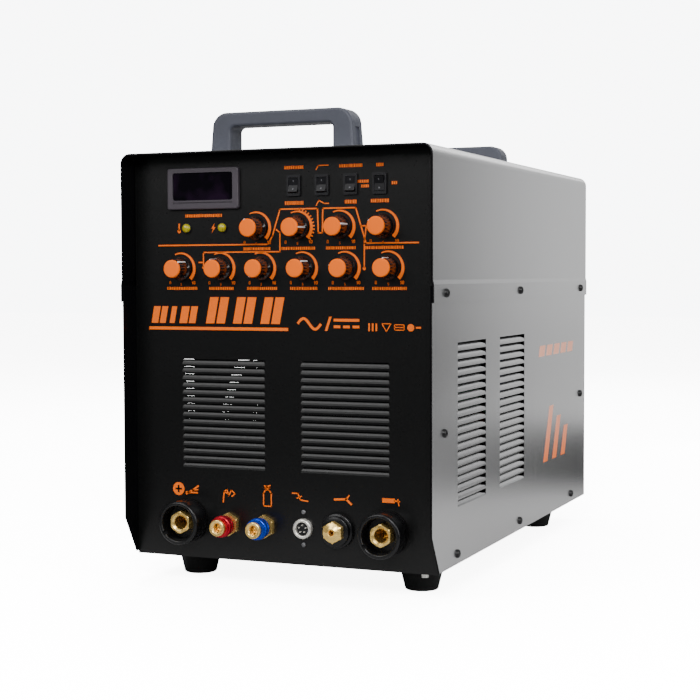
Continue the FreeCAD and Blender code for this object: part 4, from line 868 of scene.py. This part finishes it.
def make_dinse(kind):
    node = kind + "_socket_body"
    x, z = axis_of(node)
    bm = bmesh.new()
    cup = notched(17.0, 2.0, 2.0, 215)
    rings = [
        (9.0, -16.0), (14.0, -16.0), (14.0, 0.0), (20.7, 0.0), (21.2, 0.7), (21.2, 20.9), (21.0, 21.7),
        (20.5, 22.4), (19.7, 22.9), (18.9, 23.0), (at_least(18.2, cup), 23.0), (at_least(17.4, cup), 22.6),
        (cup, 21.8), (cup, 18.4), (17.0, 18.3), (16.6, 8.6), (16.2, 8.1), (9.0, 8.0),
    ]
    lathe(bm, x, z, FACE_Y, -1, rings, 144)
    nut = bmesh.new()
    ring_lathe(nut, x, z, FACE_Y, 1, [(14.05, 1.6), (flats(36.0), 1.6), (flats(36.0), 8.5), (14.05, 8.5)], 60)
    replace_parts(piece(kind + "_socket_cup", bm, "socket", "chassis", 40), node)
    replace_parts(piece(kind + "_socket_nut", nut, "socket", "chassis", 30), node)
    contact = bmesh.new()
    bore = notched(6.5, 1.6, 1.5, 0)
    front = flats(19.6)
    lathe(contact, x, z, FACE_Y, -1, [
        (5.0, -36.0), (5.0, -20.0), (8.9, -20.0), (8.9, 8.2), (least(front, 11.3), 8.2),
        (least(front, 11.3), 16.8), (least(front, 11.0), 17.4), (least(front, 10.6), 17.8),
        (least(front, 10.2), 18.0), (8.4, 18.0), (at_least(8.1, bore), 17.8), (at_least(6.6, bore), 16.6),
        (bore, 16.3), (bore, 14.6),
    ], 144)
    lathe(contact, x, z, FACE_Y, 1, [(0, 36.0), (5.0, 36.0)], 144)
    # the bore is lined with the darker brass, painted shade for the dark inside of the bore
    lining = bmesh.new()
    lathe(lining, x, z, FACE_Y, -1, [(bore, 14.6), (bore, -5.0), (0, -5.0)], 144)
    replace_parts(piece(kind + "_socket_bore", lining, "brass_bore_painted_shade", "chassis", 28),
                kind + "_socket_contact")
    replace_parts(piece(kind + "_socket_hex", contact, "brass", "chassis", 28),
                kind + "_socket_contact")


def make_coupler(colour):
    node = colour + "_coupler_body"
    x, z = axis_of(node)
    bm = bmesh.new()
    face = flats(20.0)
    lathe(bm, x, z, FACE_Y, -1, [
        (2.0, -14.0), (5.0, -14.0), (5.0, -5.6), (flats(14.0), -5.6), (flats(14.0), -1.6), (5.0, -1.6),
        (5.0, 0), (face, 0), (face, 4.2), (least(face, 10.8), 4.8), (5.2, 5.0), (5.2, 22.4), (6.6, 22.4),
        (6.6, 23.2), (7.5, 23.2), (7.85, 23.7), (7.9, 24.2), (7.9, 26.0), (7.7, 26.6), (7.1, 27.0),
        (5.6, 27.0), (5.2, 26.8), (4.3, 25.9), (4.0, 25.4), (4.0, -3.0), (2.0, -3.0), (2.0, -14.0),
    ], 96)
    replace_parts(piece(colour + "_coupler_barrel", bm, "brass", "chassis", 30), node)
    poppet = bmesh.new()
    lathe(poppet, x, z, FACE_Y, -1, [(0, 6.0), (3.8, 6.0), (3.8, 19.0), (3.2, 20.0), (1.8, 20.4),
                                     (1.2, 19.6), (0, 19.4)], 48)
    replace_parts(piece(colour + "_coupler_valve", poppet, "brass", "chassis", 40), node)
    sleeve = bmesh.new()
    knurl = fluted(10.5, 48, 0.3)
    ring_lathe(sleeve, x, z, FACE_Y, -1, [
        (5.3, 9.0), (8.9, 9.0), (9.5, 9.2), (9.9, 9.8), (9.9, 11.4), (9.6, 11.9), (9.2, 12.2), (9.2, 13.0),
        (9.7, 13.2), (fluted(10.3, 48, 0.2), 13.6), (knurl, 14.1), (knurl, 17.9),
        (fluted(10.3, 48, 0.2), 18.4), (9.7, 18.8), (9.3, 19.0), (9.3, 19.8), (9.6, 20.0), (9.7, 20.4),
        (9.7, 21.3), (9.4, 21.8), (8.8, 22.0), (5.3, 22.0),
    ], 192)
    sleeve_node = colour + "_coupler_sleeve"
    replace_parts(piece(colour + "_ringed_sleeve", sleeve, colour, sleeve_node, 40),
                sleeve_node)


def make_control_socket():
    x, z = axis_of("control_socket_insert")
    shell = bmesh.new()
    ring_lathe(shell, x, z, FACE_Y, -1, [
        (6.5, -8.0), (7.9, -8.0), (7.9, 0.0), (9.4, 0.0), (9.65, 0.3), (9.65, 3.4), (9.5, 4.1), (9.1, 4.7),
        (8.6, 5.05), (8.0, 5.2), (7.3, 5.15), (6.8, 4.9), (6.5, 4.4),
    ], 96)
    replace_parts(piece("control_socket_ring", shell, "nickel", "chassis", 35),
                "control_socket_shell")
    pins = bmesh.new()
    pin_circle = 3.6 * MM
    for i in range(5):
        a = math.radians(72 * i + 90)
        lathe(pins, x + pin_circle * math.cos(a), z + pin_circle * math.sin(a), FACE_Y, -1,
              [(0, 1.6), (0.72, 1.6), (0.72, 4.1), (0.5, 4.5), (0, 4.6)], 16)
    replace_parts(piece("control_socket_pins", pins, "nickel", "chassis", 50), "control_socket_shell")
    screws = bmesh.new()
    screw_offset = 15.6
    for side in (-1, 1):
        pan_head(screws, x, z + side * screw_offset * MM, FACE_Y, -1, 2.2, 1.6)
    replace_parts(piece("control_socket_screws", screws, "dull", "chassis", 40),
                "control_socket_shell")
    insert = bmesh.new()
    lathe(insert, x, z, FACE_Y, -1, [(0, -7.0), (6.45, -7.0), (6.45, 1.7), (6.2, 2.0), (0, 2.0)], 64)
    key = [(x - 0.9 * MM, z - 6.2 * MM), (x + 0.9 * MM, z - 6.2 * MM), (x + 0.9 * MM, z - 4.7 * MM),
           (x - 0.9 * MM, z - 4.7 * MM)]
    prism(insert, key, FACE_Y - 4.0 * MM, FACE_Y - 1.6 * MM)
    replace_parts(piece("control_socket_core", insert, "switch", "chassis", 35),
                "control_socket_insert")


def pan_head(bm, x, z, base_y, out, radius, height, slot_depth=0.45):
    """Cross-recess pan head seen along Y."""
    def cross(depth_here):
        def value(angle):
            off = (angle + math.pi / 4) % (math.pi / 2) - math.pi / 4
            return radius * (0.55 if abs(off) < 0.35 else 0.22) * depth_here
        return value
    lathe(bm, x, z, base_y, out, [
        (0, 0), (radius, 0), (radius, height * 0.35), (radius * 0.9, height * 0.7),
        (radius * 0.7, height * 0.92), (radius * 0.6, height), (cross(1.0), height),
        (cross(0.8), height - slot_depth), (0, height - slot_depth),
    ], 48)


def make_torch_socket():
    x, z = axis_of("torch_socket_base")
    base = bmesh.new()
    ring_lathe(base, x, z, FACE_Y, -1, [
        (7.0, -10.0), (8.0, -10.0), (8.0, 0.0), (16.2, 0.0), (16.6, 0.5), (16.6, 3.4), (16.4, 4.0),
        (15.8, 4.4), (15.0, 4.6), (14.4, 4.8), (14.4, 7.8), (14.1, 8.5), (13.4, 9.0), (7.0, 9.0),
    ], 96)
    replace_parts(piece("torch_socket_collar", base, "socket", "chassis", 40),
                "torch_socket_base")
    face = flats(18.4)
    fitting = bmesh.new()
    lathe(fitting, x, z, FACE_Y, -1, [
        (1.5, -24.0), (3.0, -24.0), (3.0, -14.0), (6.9, -14.0), (6.9, 9.1), (least(face, 10.5), 9.1),
        (least(face, 10.6), 9.4), (least(face, 10.6), 14.0), (least(face, 9.2), 14.9), (7.6, 15.4),
        (5.6, 16.6), (4.4, 17.3), (3.9, 17.5), (3.2, 17.5), (2.8, 17.2), (2.6, 16.8), (2.6, -3.0),
        (1.5, -3.0), (1.5, -24.0),
    ], 120)
    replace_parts(piece("torch_socket_hex", fitting, "brass", "chassis", 28), "torch_socket_fitting")


def make_rocker_marks():
    """Small grey dash on the upper half of each rocker and a square on its lower half, tilted with it."""
    fall = 1.5
    reach = 6.5
    for i in range(ROCKERS):
        node = "rocker_%d" % (i + 1)
        joint = joint_of[node]
        x, y, z = joint["pos_m"]
        tilt = math.radians(ROCKER_TILT if i == 3 else -ROCKER_TILT)
        bm = bmesh.new()
        for along, half_x, half_z in ((3.9, 0.4, 0.9), (-3.9, 0.75, 0.75)):
            face_y = -1.1 - fall * abs(along) / reach
            slope = math.atan2(fall, reach) * (1 if along > 0 else -1)
            centre = Vector((0, face_y, along))
            up = Vector((0, -math.sin(slope), math.cos(slope)))
            out = Vector((0, -math.cos(slope), -math.sin(slope)))
            side = Vector((1, 0, 0))
            turn = Matrix.Rotation(tilt, 3, "X")
            corners = []
            for lift in (-0.1, 0.12):
                for u, v in CORNERS:
                    place = centre + side * half_x * u + up * half_z * v + out * lift
                    corners.append(bm.verts.new(Vector((x, y, z)) + (turn @ place) * MM))
            for face in ((0, 1, 2, 3), (4, 5, 6, 7), (0, 1, 5, 4), (1, 2, 6, 5), (2, 3, 7, 6), (3, 0, 4, 7)):
                bm.faces.new([corners[k] for k in face])
        piece(node + "_marks", bm, "grey_ink", node)


make_camera()
make_stage()
paint_cad_nodes()
rng = random.Random(7)
for knob in range(KNOBS):
    make_knob(knob)
make_lamps()
make_dinse("positive")
make_dinse("negative")
make_coupler("red")
make_coupler("blue")
make_control_socket()
make_torch_socket()
make_rocker_marks()
dial_prints(rng)
circuit_line_print()
name_band_print()
switch_prints(rng)
lamp_prints(rng)
socket_prints()
side_print(1)
side_print(-1)
